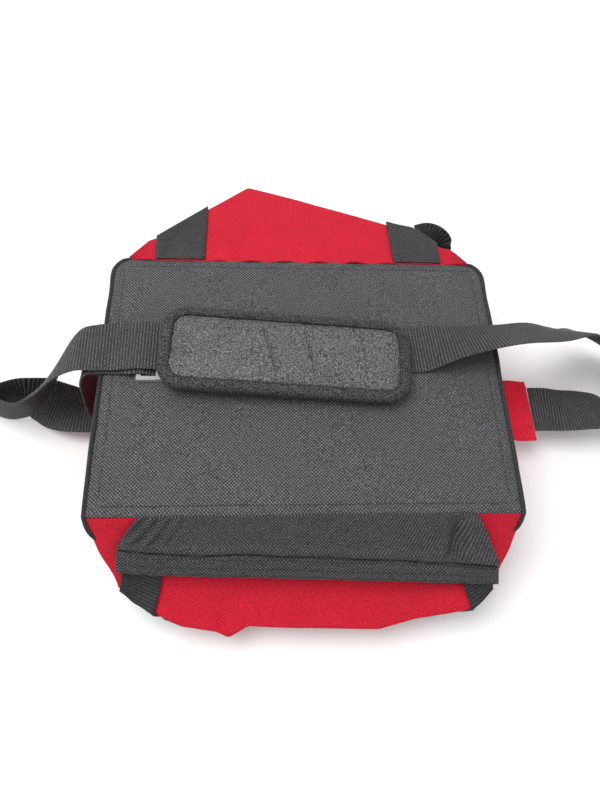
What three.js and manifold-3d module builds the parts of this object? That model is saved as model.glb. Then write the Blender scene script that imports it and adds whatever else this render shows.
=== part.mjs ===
// A small two-tone duffel bag, empty and upside down, with its shoulder strap laid over the base.
// Millimetres, +Z up. X runs along the bag, +Y is the bag's back, and the base panel faces up.
// The bag is drawn about the middle of its base, then moved so that the origin is under its middle.
import * as THREE from 'three';
import { mergeVertices } from 'three/addons/utils/BufferGeometryUtils.js';
import Module from 'manifold-3d';

const wasm = await Module();
wasm.setup();

// ---- driving dimensions ----
const BASE_WIDTH = 286;            // base panel, along X, inside the piping
const BASE_DEPTH = 199;            // base panel, along Y, between the two seams
const BASE_TOP = 76;               // height of the base above the floor
const BASE_CORNER = 12;
const FABRIC = 1.6;                // coated polyester with its lining
const GAP = 0.4;                   // between pieces that lie on each other
const BOARD_THICK = 2.4;           // stiffener under the base panel
const SEAM_Z = 75.1;               // middle of the fabric at the base seams
const PIPING_RADIUS = 1.75;
const WEB_WIDTH = 38;              // all webbing
const WEB_THICK = 1.6;
const WEB_HALF = WEB_THICK / 2;
const TOP_FLAT_Z = 0.8;            // middle of the top panels where they lie on the floor
const ZIP_Z = 9.4;                 // middle of the zipper tapes, which the slider lifts off the floor
const ZIP_HALF_LENGTH = 118;
const COIL_INNER = 0.9;            // the two coil rows stand this far from the zip line
const COIL_OUTER = 2.7;
const TAPE_OUTER = 12.8;
const SLIDER_X = 104;              // the slider is at the closed end
const PULL_LENGTH = 30;
const PULL_TILT = 0.11;            // radians, so that the pull's tip is close to the floor
const PAD_LENGTH = 179;
const PAD_WIDTH = 66;
const PAD_CORNER = 15;
const PAD_BORDER = 7;              // binding round the pad
const PAD_YAW = -3.6 * Math.PI / 180;
const PAD_TILT = 1.28 * Math.PI / 180;
const PAD_CENTRE = [-13.5, 12, 82.1];  // middle of the pad's underside
const STRAP_Y = 18;                // the strap's middle line under the pad
const GLIDE_X = -103;              // centre bar of the strap adjuster
const RING_INNER_X = -147.5;       // bar of the strap ring that the left tab holds
const RING_OUTER_X = -157;
const RING_Z = 21;
const ORIGIN = [18.2, 16.1, 0];     // under the middle of the bag without its strap

const BLACK = '#3b3b3e';
const RED = '#b01226';

// ---- geometry helpers ----
const vec = (p) => new THREE.Vector3(p[0], p[1], p[2]);
const mix = (a, b, t) => a + (b - a) * t;
const mixPoints = (a, b, t) => vec(a).lerp(vec(b), t);

// A closed body from points and triangles, turned the right way out.
function closedBody(points, triangles) {
  let volume = 0;
  for (const [a, b, c] of triangles) {
    volume += points[a].dot(new THREE.Vector3().crossVectors(points[b], points[c]));
  }
  const order = volume < 0 ? (t) => [t[0], t[2], t[1]] : (t) => t;
  const geometry = new THREE.BufferGeometry();
  const flat = points.flatMap((p) => [p.x, p.y, p.z]);
  geometry.setAttribute('position', new THREE.Float32BufferAttribute(flat, 3));
  geometry.setIndex(triangles.flatMap(order));
  return geometry;
}

// The outward direction at each point of a grid of points.
function gridNormals(grid) {
  const last = grid.length - 1;
  const end = grid[0].length - 1;
  return grid.map((row, i) => row.map((_, j) => {
    const along = grid[Math.min(i + 1, last)][j].clone().sub(grid[Math.max(i - 1, 0)][j]);
    const across = grid[i][Math.min(j + 1, end)].clone().sub(grid[i][Math.max(j - 1, 0)]);
    return along.cross(across).normalize();
  }));
}

// A thin sheet about a grid of middle points, moved off the grid by lift along its normals.
function sheet(grid, thickness, lift = 0) {
  const normals = gridNormals(grid);
  const rows = grid.length;
  const columns = grid[0].length;
  const points = [];
  for (const side of [0.5, -0.5]) {
    grid.forEach((row, i) => row.forEach((p, j) => {
      points.push(p.clone().addScaledVector(normals[i][j], lift + side * thickness));
    }));
  }
  const at = (i, j, side) => side * rows * columns + i * columns + j;
  const triangles = [];
  const quad = (a, b, c, d) => triangles.push([a, b, c], [a, c, d]);
  for (let i = 0; i < rows - 1; i += 1) {
    for (let j = 0; j < columns - 1; j += 1) {
      quad(at(i, j, 0), at(i + 1, j, 0), at(i + 1, j + 1, 0), at(i, j + 1, 0));
      quad(at(i, j, 1), at(i, j + 1, 1), at(i + 1, j + 1, 1), at(i + 1, j, 1));
    }
  }
  for (let i = 0; i < rows - 1; i += 1) {
    quad(at(i, 0, 0), at(i, 0, 1), at(i + 1, 0, 1), at(i + 1, 0, 0));
    const j = columns - 1;
    quad(at(i, j, 0), at(i + 1, j, 0), at(i + 1, j, 1), at(i, j, 1));
  }
  for (let j = 0; j < columns - 1; j += 1) {
    quad(at(0, j, 0), at(0, j + 1, 0), at(0, j + 1, 1), at(0, j, 1));
    const i = rows - 1;
    quad(at(i, j, 0), at(i, j, 1), at(i, j + 1, 1), at(i, j + 1, 0));
  }
  return closedBody(points, triangles);
}

// Points and width directions along a strap, from stations [x, y, z, wx, wy, wz].
function strapFrames(stations, steps) {
  const curve = (points) => new THREE.CatmullRomCurve3(points, false, 'catmullrom', 0.5);
  const centre = curve(stations.map((s) => vec(s)));
  const width = curve(stations.map((s) => vec(s.slice(3))));
  const frames = [];
  for (let i = 0; i <= steps; i += 1) {
    const t = i / steps;
    const ahead = centre.getPoint(Math.min(t + 1e-3, 1));
    const tangent = ahead.sub(centre.getPoint(Math.max(t - 1e-3, 0))).normalize();
    const across = width.getPoint(t);
    across.addScaledVector(tangent, -across.dot(tangent)).normalize();
    const normal = new THREE.Vector3().crossVectors(tangent, across);
    frames.push({ point: centre.getPoint(t), across, normal });
  }
  return frames;
}

// A flat strap: a rectangle swept along its frames.
function strap(frames, width = WEB_WIDTH, thickness = WEB_THICK) {
  const corners = [[-1, -1], [1, -1], [1, 1], [-1, 1]];
  const points = frames.flatMap((f) => corners.map(([a, n]) => f.point.clone()
    .addScaledVector(f.across, a * width / 2)
    .addScaledVector(f.normal, n * thickness / 2)));
  const triangles = [[0, 2, 1], [0, 3, 2]];
  for (let i = 0; i < frames.length - 1; i += 1) {
    for (let k = 0; k < 4; k += 1) {
      const a = 4 * i + k;
      const b = 4 * i + (k + 1) % 4;
      triangles.push([a, b, b + 4], [a, b + 4, a + 4]);
    }
  }
  const e = 4 * (frames.length - 1);
  triangles.push([e, e + 1, e + 2], [e, e + 2, e + 3]);
  return closedBody(points, triangles);
}

function roundedRect(width, depth, radius, Kind = THREE.Shape) {
  const shape = new Kind();
  const x = width / 2 - radius;
  const y = depth / 2 - radius;
  shape.absarc(x, y, radius, 0, Math.PI / 2);
  shape.absarc(-x, y, radius, Math.PI / 2, Math.PI);
  shape.absarc(-x, -y, radius, Math.PI, Math.PI * 1.5);
  shape.absarc(x, -y, radius, Math.PI * 1.5, Math.PI * 2);
  shape.closePath();
  return shape;
}

const extrude = (shape, depth, curveSegments = 5) =>
  new THREE.ExtrudeGeometry(shape, { depth, bevelEnabled: false, curveSegments });

function slab(x0, x1, y0, y1, z0, z1) {
  const geometry = new THREE.BoxGeometry(x1 - x0, y1 - y0, z1 - z0);
  return geometry.translate((x0 + x1) / 2, (y0 + y1) / 2, (z0 + z1) / 2);
}

function solid(geometry) {
  const plain = geometry.clone();
  plain.deleteAttribute('normal');
  plain.deleteAttribute('uv');
  const merged = mergeVertices(plain);
  const vertProperties = new Float32Array(merged.attributes.position.array);
  const triVerts = new Uint32Array(merged.index.array);
  return new wasm.Manifold(new wasm.Mesh({ numProp: 3, vertProperties, triVerts }));
}

function join(geometries) {
  const whole = geometries.map(solid).reduce((a, b) => a.add(b));
  const mesh = whole.getMesh();
  const geometry = new THREE.BufferGeometry();
  geometry.setAttribute('position', new THREE.BufferAttribute(new Float32Array(mesh.vertProperties), 3));
  geometry.setIndex(Array.from(mesh.triVerts));
  return geometry;
}

// ---- scene graph ----
const group = new THREE.Group();
const bag = new THREE.Group();
bag.position.set(-ORIGIN[0], -ORIGIN[1], -ORIGIN[2]);
group.add(bag);

function add(name, geometry, color, roughness, metalness = 0, parent = bag) {
  const mesh = new THREE.Mesh(geometry, new THREE.MeshStandardMaterial({ color, roughness, metalness }));
  mesh.name = name;
  parent.add(mesh);
  return mesh;
}

// ---- base ----
const basePanel = extrude(roundedRect(BASE_WIDTH, BASE_DEPTH, BASE_CORNER), FABRIC);
add('base_panel', basePanel.translate(0, 0, BASE_TOP - FABRIC), BLACK, 0.85);
const board = extrude(roundedRect(BASE_WIDTH - 12, BASE_DEPTH - 8, BASE_CORNER - 2), BOARD_THICK);
add('base_board', board.translate(0, 0, BASE_TOP - FABRIC - GAP - BOARD_THICK), '#2c2c2e', 0.6);

// ---- back panel: out from the base seam to a crease, then folded back under to the top panel ----
const BACK_CREASE = [
  [-133, 103, 73.8], [-120, 124, 69.5], [-112, 128, 68.5], [-80, 165, 58], [-62, 184, 52.5], [-43, 204, 47],
  [3, 185, 52.5], [82, 149, 62.5], [96, 144, 64.5], [116, 121, 70], [124, 119, 70.5], [134, 103, 73.8],
];
const BACK_SEAM_Y = 100.7;
const UNDER_Y = 99.6;              // where the side panels meet the top panels
const UNDER_Z = 1.1;
const FOLD_DROP = 5;               // height of the fold at the crease
const SIDE_STEPS = 5;

// One section of a side panel, from the base seam over the crease and back under the bag.
function sideSection(seam, crease, under, sag) {
  const sign = Math.sign(crease.y);
  const fold = crease.clone().add(new THREE.Vector3(0, -sign * 3, -FOLD_DROP));
  const section = [];
  for (let i = 0; i < SIDE_STEPS; i += 1) {
    const t = i / SIDE_STEPS;
    const point = seam.clone().lerp(crease, t);
    point.z -= sag * Math.sin(Math.PI * t);
    section.push(point);
  }
  section.push(crease.clone());
  for (let i = 0; i <= SIDE_STEPS; i += 1) {
    section.push(fold.clone().lerp(under, i / SIDE_STEPS));
  }
  return section;
}

// The station list's point at a given place along X of the crease.
function along(stations, x) {
  const last = stations.length - 2;
  const found = stations.findIndex((s, k) => k > 0 && x <= s[0]);
  const i = found < 1 ? (x <= stations[0][0] ? 0 : last) : found - 1;
  const t = (x - stations[i][0]) / (stations[i + 1][0] - stations[i][0]);
  return mixPoints(stations[i], stations[i + 1], t);
}

const backSection = (x) => {
  const crease = along(BACK_CREASE, x);
  const seam = new THREE.Vector3(x * 0.985, BACK_SEAM_Y, SEAM_Z);
  const under = new THREE.Vector3(x * 0.94, UNDER_Y, UNDER_Z);
  return sideSection(seam, crease, under, 0);
};
add('back_panel', sheet(BACK_CREASE.map((s) => backSection(s[0])), FABRIC), RED, 0.8);

// ---- front panel: steeper, with a hollow behind the pocket ----
const FRONT_CREASE = [
  [-125.5, -139, 38.5], [-117, -147, 34], [-102, -156, 31], [-85, -164, 29], [-61, -168, 28], [-53, -172, 26],
  [-40, -165, 29], [-5, -167, 30], [49, -169, 30], [74, -163, 31], [98, -160, 32], [112, -158, 33],
  [119, -153, 35], [128.5, -143, 38.5],
];
const FRONT_SEAM_Y = -100.7;
const FRONT_SEAM_Z = 72.6;
const FRONT_SAG = 19;                // hollow of the front panel behind the pocket
const FRONT_EDGE_SAG = 5;
const FRONT_SEAM_HALF = 139;
const frontSeamX = (x) => mix(-FRONT_SEAM_HALF, FRONT_SEAM_HALF, (x + 125.5) / 254);

function frontSection(x, seamX = frontSeamX(x)) {
  const crease = along(FRONT_CREASE, x);
  const seam = new THREE.Vector3(seamX, FRONT_SEAM_Y, FRONT_SEAM_Z);
  const under = new THREE.Vector3(x * 0.95, -UNDER_Y, UNDER_Z);
  const middle = Math.max(0, 1 - (Math.abs(x) / 128) ** 4) ** 1.5;
  return sideSection(seam, crease, under, mix(FRONT_EDGE_SAG, FRONT_SAG, middle));
}
const frontGrid = FRONT_CREASE.map((s) => frontSection(s[0]));
add('front_panel', sheet(frontGrid, FABRIC), RED, 0.8);

// ---- end panels: tucked in under the piped edges ----
const END_TOP = 70.6;
const END_BOTTOM = 3.4;
function endPanel(side, creaseX) {
  const grid = [];
  for (let i = 0; i <= 8; i += 1) {
    const s = i / 8;
    const row = [];
    for (let j = 0; j <= 6; j += 1) {
      const v = j / 6;
      const front = -96 - 30 * Math.sin(Math.PI * v) ** 1.6;
      const edgeX = mix(136.2, creaseX - 3.9, Math.min(1, v * 2)) - 5 * Math.max(0, v - 0.5);
      const tuckX = 140.6 - 11 * Math.sin(Math.PI * v) ** 2 - 6 * v;
      const x = mix(edgeX, tuckX, Math.min(1, s * 3) ** 2);
      row.push(new THREE.Vector3(side * x, mix(front, 95, s), mix(END_TOP, END_BOTTOM, v)));
    }
    grid.push(row);
  }
  return sheet(grid, FABRIC);
}
add('left_end_panel', endPanel(-1, 125.5), RED, 0.8);
add('right_end_panel', endPanel(1, 128.5), RED, 0.8);

// ---- piping along the two ends of the base and down the front seams ----
function piping(side, creaseX) {
  const x = BASE_WIDTH / 2 + PIPING_RADIUS + GAP;
  const route = [
    [x - 4.6, 98.4, 73.2], [x - 0.9, 93, 74.1], [x, 84, 74.2], [x, 60, 74.2], [x, -70, 74.2], [x, -98, 73.8],
    [x - 0.9, -107, 69.5], [x - 4.5, -115.5, 61], [x - 10, -124, 50], [creaseX + 4.6, -134, 41.5],
  ].map(([px, py, pz]) => new THREE.Vector3(side * px, py, pz));
  const path = new THREE.CatmullRomCurve3(route, false, 'centripetal');
  const section = new THREE.Shape().absarc(0, 0, PIPING_RADIUS, 0, Math.PI * 2);
  const options = { steps: 26, extrudePath: path, curveSegments: 4, bevelEnabled: false };
  return new THREE.ExtrudeGeometry(section, options);
}
add('left_piping', piping(-1, 125.5), '#2f2f31', 0.8);
add('right_piping', piping(1, 128.5), '#2f2f31', 0.8);

// ---- front pocket: a pleated panel and its deep stitched hem, standing off the front panel ----
const POCKET_SEAM = [-110, -104, -5, 96, 112].map((x) => [x, FRONT_SEAM_Y - 0.5, SEAM_Z]);
const POCKET_FOLD = [
  [-124, -116, 62], [-104, -119, 59], [-5, -122, 57.5], [96, -127, 57], [128, -130, 56],
];
const POCKET_HEM = [
  [-125.5, -131, 51], [-101, -133, 47.5], [-5, -136.5, 45.5], [96, -141, 46], [129.5, -142.5, 46.5],
];
const HEM_THICK = 2.2;
const pocketGrid = (upper, lower, from, to, steps) => upper.map((p, i) => {
  const row = [];
  for (let j = 0; j <= steps; j += 1) {
    row.push(mixPoints(p, lower[i], mix(from, to, j / steps)));
  }
  return row;
});
add('pocket_panel', sheet(pocketGrid(POCKET_SEAM, POCKET_FOLD, 0, 0.97, 3), FABRIC), BLACK, 0.85);
add('pocket_hem', sheet(pocketGrid(POCKET_FOLD, POCKET_HEM, 0, 1, 2), HEM_THICK), BLACK, 0.85);

// ---- top panels, under the bag: flat on the floor, rising to the zipper ----
function topPanel(side) {
  const grid = [];
  const flat = [98.2, 70, 40].map((y) => [y, TOP_FLAT_Z]);
  const profile = [...flat, [28, 3.4], [18, ZIP_Z - 1], [TAPE_OUTER + 0.6, ZIP_Z]];
  for (const x of [-122, -60, 0, 60, 122]) {
    grid.push(profile.map(([y, z]) => new THREE.Vector3(x, side * y, z)));
  }
  return sheet(grid, FABRIC);
}
add('top_back_panel', topPanel(1), BLACK, 0.85);
add('top_front_panel', topPanel(-1), BLACK, 0.85);

// ---- zipper: two tapes, two coil rows, end stops, slider and pull ----
const L = ZIP_HALF_LENGTH;
for (const [name, side] of [['back', 1], ['front', -1]]) {
  const span = (a, b) => [Math.min(side * a, side * b), Math.max(side * a, side * b)];
  const tape = span(COIL_OUTER + GAP, TAPE_OUTER);
  const coil = span(COIL_INNER, COIL_OUTER);
  add(`zipper_tape_${name}`, slab(-L, L, ...tape, ZIP_Z - 0.4, ZIP_Z + 0.4), '#232325', 0.85);
  add(`zipper_coil_${name}`, slab(-L, L, ...coil, ZIP_Z - 1.1, ZIP_Z + 1.1), '#1f1f21', 0.5);
}
const STOP = 4;
const stopAt = (x) => slab(x, x + STOP, -COIL_OUTER - 1, COIL_OUTER + 1, ZIP_Z - 1.6, ZIP_Z + 1.6);
add('zipper_stop_left', stopAt(-L - GAP - STOP), '#8c8d90', 0.35, 0.9);
add('zipper_stop_right', stopAt(L + GAP), '#8c8d90', 0.35, 0.9);

const PIVOT_Z = 5;
function sliderBody() {
  const x0 = SLIDER_X - 7;
  const x1 = SLIDER_X + 7;
  const pieces = [
    slab(x0, x1, -5.4, 5.4, ZIP_Z - 2.8, ZIP_Z - 1.5),
    slab(x0, x1, -5.4, 5.4, ZIP_Z + 1.5, ZIP_Z + 2.7),
    slab(x1 - 4, x1 - 1, -0.5, 0.5, ZIP_Z - 1.6, ZIP_Z + 1.6),
  ];
  for (const y of [-5.4, 4.2]) {
    pieces.push(slab(x0, x1, y, y + 1.2, ZIP_Z - 1.6, ZIP_Z - 0.75));
    pieces.push(slab(x0, x1, y, y + 1.2, ZIP_Z + 0.75, ZIP_Z + 1.6));
  }
  for (const x of [-4.6, 3.2]) {
    pieces.push(slab(SLIDER_X + x, SLIDER_X + x + 1.4, -1.6, 1.6, 2.6, ZIP_Z - 2.7));
  }
  pieces.push(slab(SLIDER_X - 4.6, SLIDER_X + 4.6, -1.6, 1.6, 2.6, 3.7));
  return join(pieces);
}
add('zipper_slider', sliderBody(), '#7d7e82', 0.3, 0.95);

// The pull: a crossbar through the slider's bail, two short arms and a plate, lying towards -X.
function pullTab() {
  const bar = new THREE.CylinderGeometry(0.6, 0.6, 7.6, 10);
  const pieces = [
    bar,
    slab(-9, 0.9, 2.2, 3.8, -0.65, 0.65),
    slab(-9, 0.9, -3.8, -2.2, -0.65, 0.65),
    slab(-PULL_LENGTH, -8, -3.8, 3.8, -0.65, 0.65),
  ];
  return join(pieces);
}
const pull = add('zipper_pull', pullTab(), '#7d7e82', 0.3, 0.95);
pull.position.set(SLIDER_X, 0, PIVOT_Z);
pull.rotation.y = -PULL_TILT;

// ---- tabs at the two ends, the strap ring ----
const TAB_Y = [-31, 21];
const TAB_Z = 25;
const TAB_THICK = 2.2;
const TAB_END = 187.8;
const TAB_ROOT = 134.5;
const rightTab = slab(TAB_ROOT, TAB_END, ...TAB_Y, TAB_Z - TAB_THICK / 2, TAB_Z + TAB_THICK / 2);
add('right_tab', rightTab, RED, 0.8);

const RING_BAR = 2.8;
const RING_HALF_Y = 23.4;
const RING_Y = -1;
const TAB_LOOP = 3.8;
function leftTab() {
  const shape = new THREE.Shape();
  const half = TAB_THICK / 2;
  shape.moveTo(-TAB_ROOT, RING_Z - half);
  shape.lineTo(-TAB_ROOT, RING_Z + half);
  shape.lineTo(RING_INNER_X + 3.6, RING_Z + half);
  shape.absarc(RING_INNER_X, RING_Z, TAB_LOOP, 0.3, Math.PI * 2 - 0.3);
  shape.closePath();
  shape.holes.push(new THREE.Path().absarc(RING_INNER_X, RING_Z, 2.4, 0, Math.PI * 2));
  const width = 34;
  return extrude(shape, width, 8).rotateX(Math.PI / 2).translate(0, RING_Y + width / 2, 0);
}
add('left_tab', leftTab(), RED, 0.8);

function ringBody() {
  const width = RING_INNER_X - RING_OUTER_X + RING_BAR;
  const shape = roundedRect(width, RING_HALF_Y * 2, 1.2);
  const hole = roundedRect(width - 2 * RING_BAR, RING_HALF_Y * 2 - 2 * RING_BAR, 0.6, THREE.Path);
  shape.holes.push(hole);
  const ring = extrude(shape, RING_BAR, 3);
  return ring.translate((RING_INNER_X + RING_OUTER_X) / 2, RING_Y, RING_Z - RING_BAR / 2);
}
add('strap_ring', ringBody(), '#1d1d1f', 0.4);

// ---- shoulder strap: from the right tab, round, over the base, under the pad, and out to the ring ----
const ON_EDGE = [0, 0, -1];
const FLAT = [0, 1, 0];
const tilted = (degrees) => [0, Math.cos(degrees * Math.PI / 180), -Math.sin(degrees * Math.PI / 180)];
const OVER_BAR = 80.55;
const MAIN_Z = 77.4;               // the strap's middle where it lies on the base
const STRAP_MAIN = [
  [TAB_END + 0.5, -4, TAB_Z, ...FLAT],
  [200, -4, TAB_Z, ...FLAT],
  [214, -5, 25.5, ...tilted(6)],
  [232, -6, 25, ...tilted(14)],
  [252, -7, 23, ...tilted(28)],
  [268, -6, 21.5, ...tilted(72)],
  [284, 3, 21, ...ON_EDGE],
  [290, 16, 21.5, ...ON_EDGE],
  [284, 30, 24, 0, 0.4, -0.9],
  [270, 42, 30, 0.14, 0.75, -0.65],
  [254, 48, 38, -0.12, 0.81, -0.58],
  [238, 50, 48, -0.3, 0.7, -0.62],
  [220, 48, 60, ...tilted(56)],
  [184, 36, 80, ...tilted(40)],
  [150, 27, 88.2, ...tilted(30)],
  [118, 22, 84.6, ...tilted(18)],
  [92, 19, 78.6, ...tilted(3)],
  [76, STRAP_Y, MAIN_Z, ...FLAT],
  [50, STRAP_Y, 78, ...FLAT],
  [25, STRAP_Y, 79.2, ...FLAT],
  [-10, STRAP_Y, 80.1, ...FLAT],
  [-45, STRAP_Y, 80.8, ...FLAT],
  [-75, STRAP_Y, 80.7, ...FLAT],
  [GLIDE_X + 14, STRAP_Y, OVER_BAR, ...FLAT],
  [GLIDE_X + 10, STRAP_Y, 79.7, ...FLAT],
  [GLIDE_X + 4, STRAP_Y, MAIN_Z, ...FLAT],
  [GLIDE_X, STRAP_Y, 77.2, ...FLAT],
  [GLIDE_X - 4, STRAP_Y, MAIN_Z, ...FLAT],
  [GLIDE_X - 10, STRAP_Y, 79.7, ...FLAT],
  [GLIDE_X - 14, STRAP_Y, OVER_BAR, ...FLAT],
  [GLIDE_X - 20, STRAP_Y, 79.6, ...FLAT],
  [-134, 19, 77.6, ...FLAT],
  [-148, 19, 77.3, ...FLAT],
  [-155.5, 17.5, 74.2, ...FLAT],
  [-159, 14, 66, ...FLAT],
  [-159, 9, 54, ...FLAT],
  [-158, 4, 42, ...FLAT],
  [-155.8, 0, 31, ...FLAT],
  [-153.8, RING_Y, 25, ...FLAT],
  [-153.2, RING_Y, 21.8, ...FLAT],
];
const MAIN_STEPS = 90;
add('strap_main', strap(strapFrames(STRAP_MAIN, MAIN_STEPS)), '#38383b', 0.85);

// The doubled-back layer: from the ring's slot round its bar, out in a loop that stands on edge,
// up over the base on the strap's upper side, and to the adjuster's centre bar.
const RETURN_Y = STRAP_Y + 2.6;
const STRAP_RETURN = [
  [-153.2, RING_Y, 21.3, 0, 1, 0],
  [-153.6, RING_Y, 18.4, 0, 1, 0],
  [-156.5, RING_Y, 16.4, 0, 1, 0],
  [-164, RING_Y, 16.2, 0, 1, 0],
  [-178, -0.5, 16, 0, 1, 0],
  [-192, 3, 15.6, 0, 0.95, 0.3],
  [-204, 7.5, 16.6, 0, 0.75, 0.65],
  [-216, 10.5, 19.6, 0, 0.35, 0.95],
  [-229, 11.5, 20, 0, 0, 1],
  [-241, 10.5, 20, 0, 0, 1],
  [-246, 5.5, 20, 0, 0, 1],
  [-241, 0.5, 20, 0, 0, 1],
  [-229, -2, 20.5, 0, 0, 1],
  [-212, -1, 26, 0, -0.17, 0.98],
  [-195, 7, 42, 0, -0.55, 0.83],
  [-178, 15, 64, 0, -0.87, 0.48],
  [-162, 19, 77.6, 0, -0.98, 0.18],
  [-148, 20, 80.2, 0, -1, 0.04],
  [-134, 20.4, 80.6, 0, -1, 0],
  [GLIDE_X - 20, RETURN_Y, 82.4, 0, -1, 0],
  [GLIDE_X - 14, RETURN_Y, 83.2, 0, -1, 0],
  [GLIDE_X - 6, RETURN_Y, 82.4, 0, -1, 0],
  [GLIDE_X + 2, RETURN_Y, 82, 0, -1, 0],
];
const RETURN_STEPS = 54;
add('strap_return', strap(strapFrames(STRAP_RETURN, RETURN_STEPS)), '#38383b', 0.85);

// ---- strap adjuster: two end bars under the strap, a raised centre bar over it ----
const GLIDE_HALF_WIDTH = 22.8;
const GLIDE_Y = STRAP_Y - 0.6;
function adjuster() {
  const low = BASE_TOP + GAP;
  const y0 = GLIDE_Y - GLIDE_HALF_WIDTH;
  const y1 = GLIDE_Y + GLIDE_HALF_WIDTH;
  const bar = (x, z0, z1) => slab(GLIDE_X + x - 1.6, GLIDE_X + x + 1.6, y0, y1, z0, z1);
  const pieces = [bar(-14, low, low + 2.9), bar(14, low, low + 2.9), bar(0, low + 2.1, low + 3.9)];
  for (const y of [y0, y1 - 3]) {
    pieces.push(slab(GLIDE_X - 15.6, GLIDE_X + 15.6, y, y + 3, low, low + 3.2));
  }
  return join(pieces);
}
add('strap_adjuster', adjuster(), '#8e8f91', 0.45);

// ---- shoulder pad, in its own tilted frame: z = 0 is its underside ----
const pad = new THREE.Group();
pad.position.set(...PAD_CENTRE);
pad.rotation.set(0, PAD_TILT, PAD_YAW, 'ZYX');
bag.add(pad);
const PAD_BACK = 1;
const PAD_FOAM = 5.4;
const PAD_FACE = 1.2;
const padInner = (margin) => [PAD_LENGTH - 2 * margin, PAD_WIDTH - 2 * margin, PAD_CORNER - margin];
function padLayer(thickness, z) {
  return extrude(roundedRect(...padInner(PAD_BORDER + GAP)), thickness).translate(0, 0, z);
}
add('pad_back', padLayer(PAD_BACK, 0), '#2a2a2c', 0.9, 0, pad);
add('pad_foam', padLayer(PAD_FOAM, PAD_BACK + GAP), '#20201f', 0.95, 0, pad);
add('pad_face', padLayer(PAD_FACE, PAD_BACK + PAD_FOAM + 2 * GAP), '#4a4a4d', 0.5, 0, pad);
const border = roundedRect(...padInner(0));
border.holes.push(roundedRect(...padInner(PAD_BORDER), THREE.Path));
add('pad_binding', extrude(border, 8.2), '#2e2e30', 0.85, 0, pad);

// The sleeve under the pad, a flat channel that the strap runs through.
const SLEEVE_X = [-34, 36];
function sleeve() {
  const half = 24.4;
  const y = STRAP_Y - PAD_CENTRE[1];
  const pieces = [
    slab(...SLEEVE_X, y - half, y + half, -4.2, -3.4),
    slab(...SLEEVE_X, y - half, y - half + 1, -3.5, -0.4),
    slab(...SLEEVE_X, y + half - 1, y + half, -3.5, -0.4),
  ];
  return join(pieces);
}
add('pad_sleeve', sleeve(), '#2a2a2c', 0.9, 0, pad);

// ---- handle legs: webbing on the panels, from the base seam to the crease ----
const LEG_LIFT = FABRIC / 2 + GAP + WEB_HALF;
function backLeg(x0, x1) {
  const grid = [];
  for (let i = 0; i <= 3; i += 1) {
    const section = backSection(mix(x0, x1, i / 3));
    grid.push(section.slice(0, SIDE_STEPS + 1));
  }
  return sheet(grid, WEB_THICK, LEG_LIFT);
}
add('back_handle_leg_left', backLeg(-114.5, -76.5), '#38383b', 0.85);
add('back_handle_leg_right', backLeg(75, 113), '#38383b', 0.85);

function frontLeg(seam, crease) {
  const grid = [];
  for (let i = 0; i <= 3; i += 1) {
    const section = frontSection(mix(...crease, i / 3), mix(...seam, i / 3));
    grid.push(section.slice(1, SIDE_STEPS + 1));
  }
  return sheet(grid, WEB_THICK, -LEG_LIFT - GAP);
}
add('front_handle_leg_left', frontLeg([-118, -80], [-124.5, -100]), '#38383b', 0.85);
add('front_handle_leg_right', frontLeg([80, 118], [112, 127.5]), '#38383b', 0.85);

// ---- handle loops: they hang from the creases and lie on the floor ----
const BACK_LOOP = [
  [-102, 148, 42, 0.6, 0.72, -0.1],
  [-101, 153, 29, 0.5, 0.8, 0.1],
  [-95, 161, 17, 0.2, 0.9, 0.3],
  [-82, 172, 8, 0, 1, 0.2],
  [-62, 180, 2.6, 0, 1, 0],
  [-30, 183, 1, 0, 1, 0],
  [0, 183, 1, 0, 1, 0],
  [35, 181, 1, 0, 1, 0],
  [62, 174, 2.8, 0, 1, 0],
  [86, 161, 9.5, 0.1, 0.9, 0.3],
  [104, 148, 17.5, 0.2, 0.6, 0.75],
  [118, 140, 21, 0, 0.1, 1],
  [129, 141, 21.5, 0, 0, 1],
  [133.5, 149, 23, 0, 0, 1],
  [127, 155, 28, -0.1, -0.1, 0.95],
  [116, 152, 36, -0.3, 0.15, 0.85],
  [108, 145, 41.5, -0.5, 0.25, 0.6],
];
add('back_handle_loop', strap(strapFrames(BACK_LOOP, 44)), '#38383b', 0.85);

const FRONT_LOOP = [
  [-111.5, -145.6, 18.6, 0.88, -0.48, 0],
  [-109, -143, 13.5, 0.85, -0.5, 0.1],
  [-98, -141.5, 7.5, 0.5, -0.85, 0.15],
  [-84, -142, 3.2, 0.15, -1, 0],
  [-64, -141, 1.2, 0, -1, 0],
  [-32, -141, 1, 0, -1, 0],
  [0, -140, 1, 0, -1, 0],
  [36, -141, 1, 0, -1, 0],
  [69, -141, 1.2, 0, -1, 0],
  [90, -140, 3.4, -0.15, -1, 0],
  [105, -141, 8, -0.5, -0.85, 0.15],
  [115, -144.5, 14, -0.8, -0.55, 0.1],
  [117, -147.2, 18.2, -0.88, -0.48, 0],
];
add('front_handle_loop', strap(strapFrames(FRONT_LOOP, 36)), '#38383b', 0.85);

export default group;
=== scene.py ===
# Looks of a small two-tone duffel bag that lies upside down with its strap over the base.
# Shapes are in millimetres from the middle of the base; place() turns them into the frame's metres.
import math

import bpy
import bmesh
import numpy as np
from mathutils import Matrix, Vector


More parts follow.
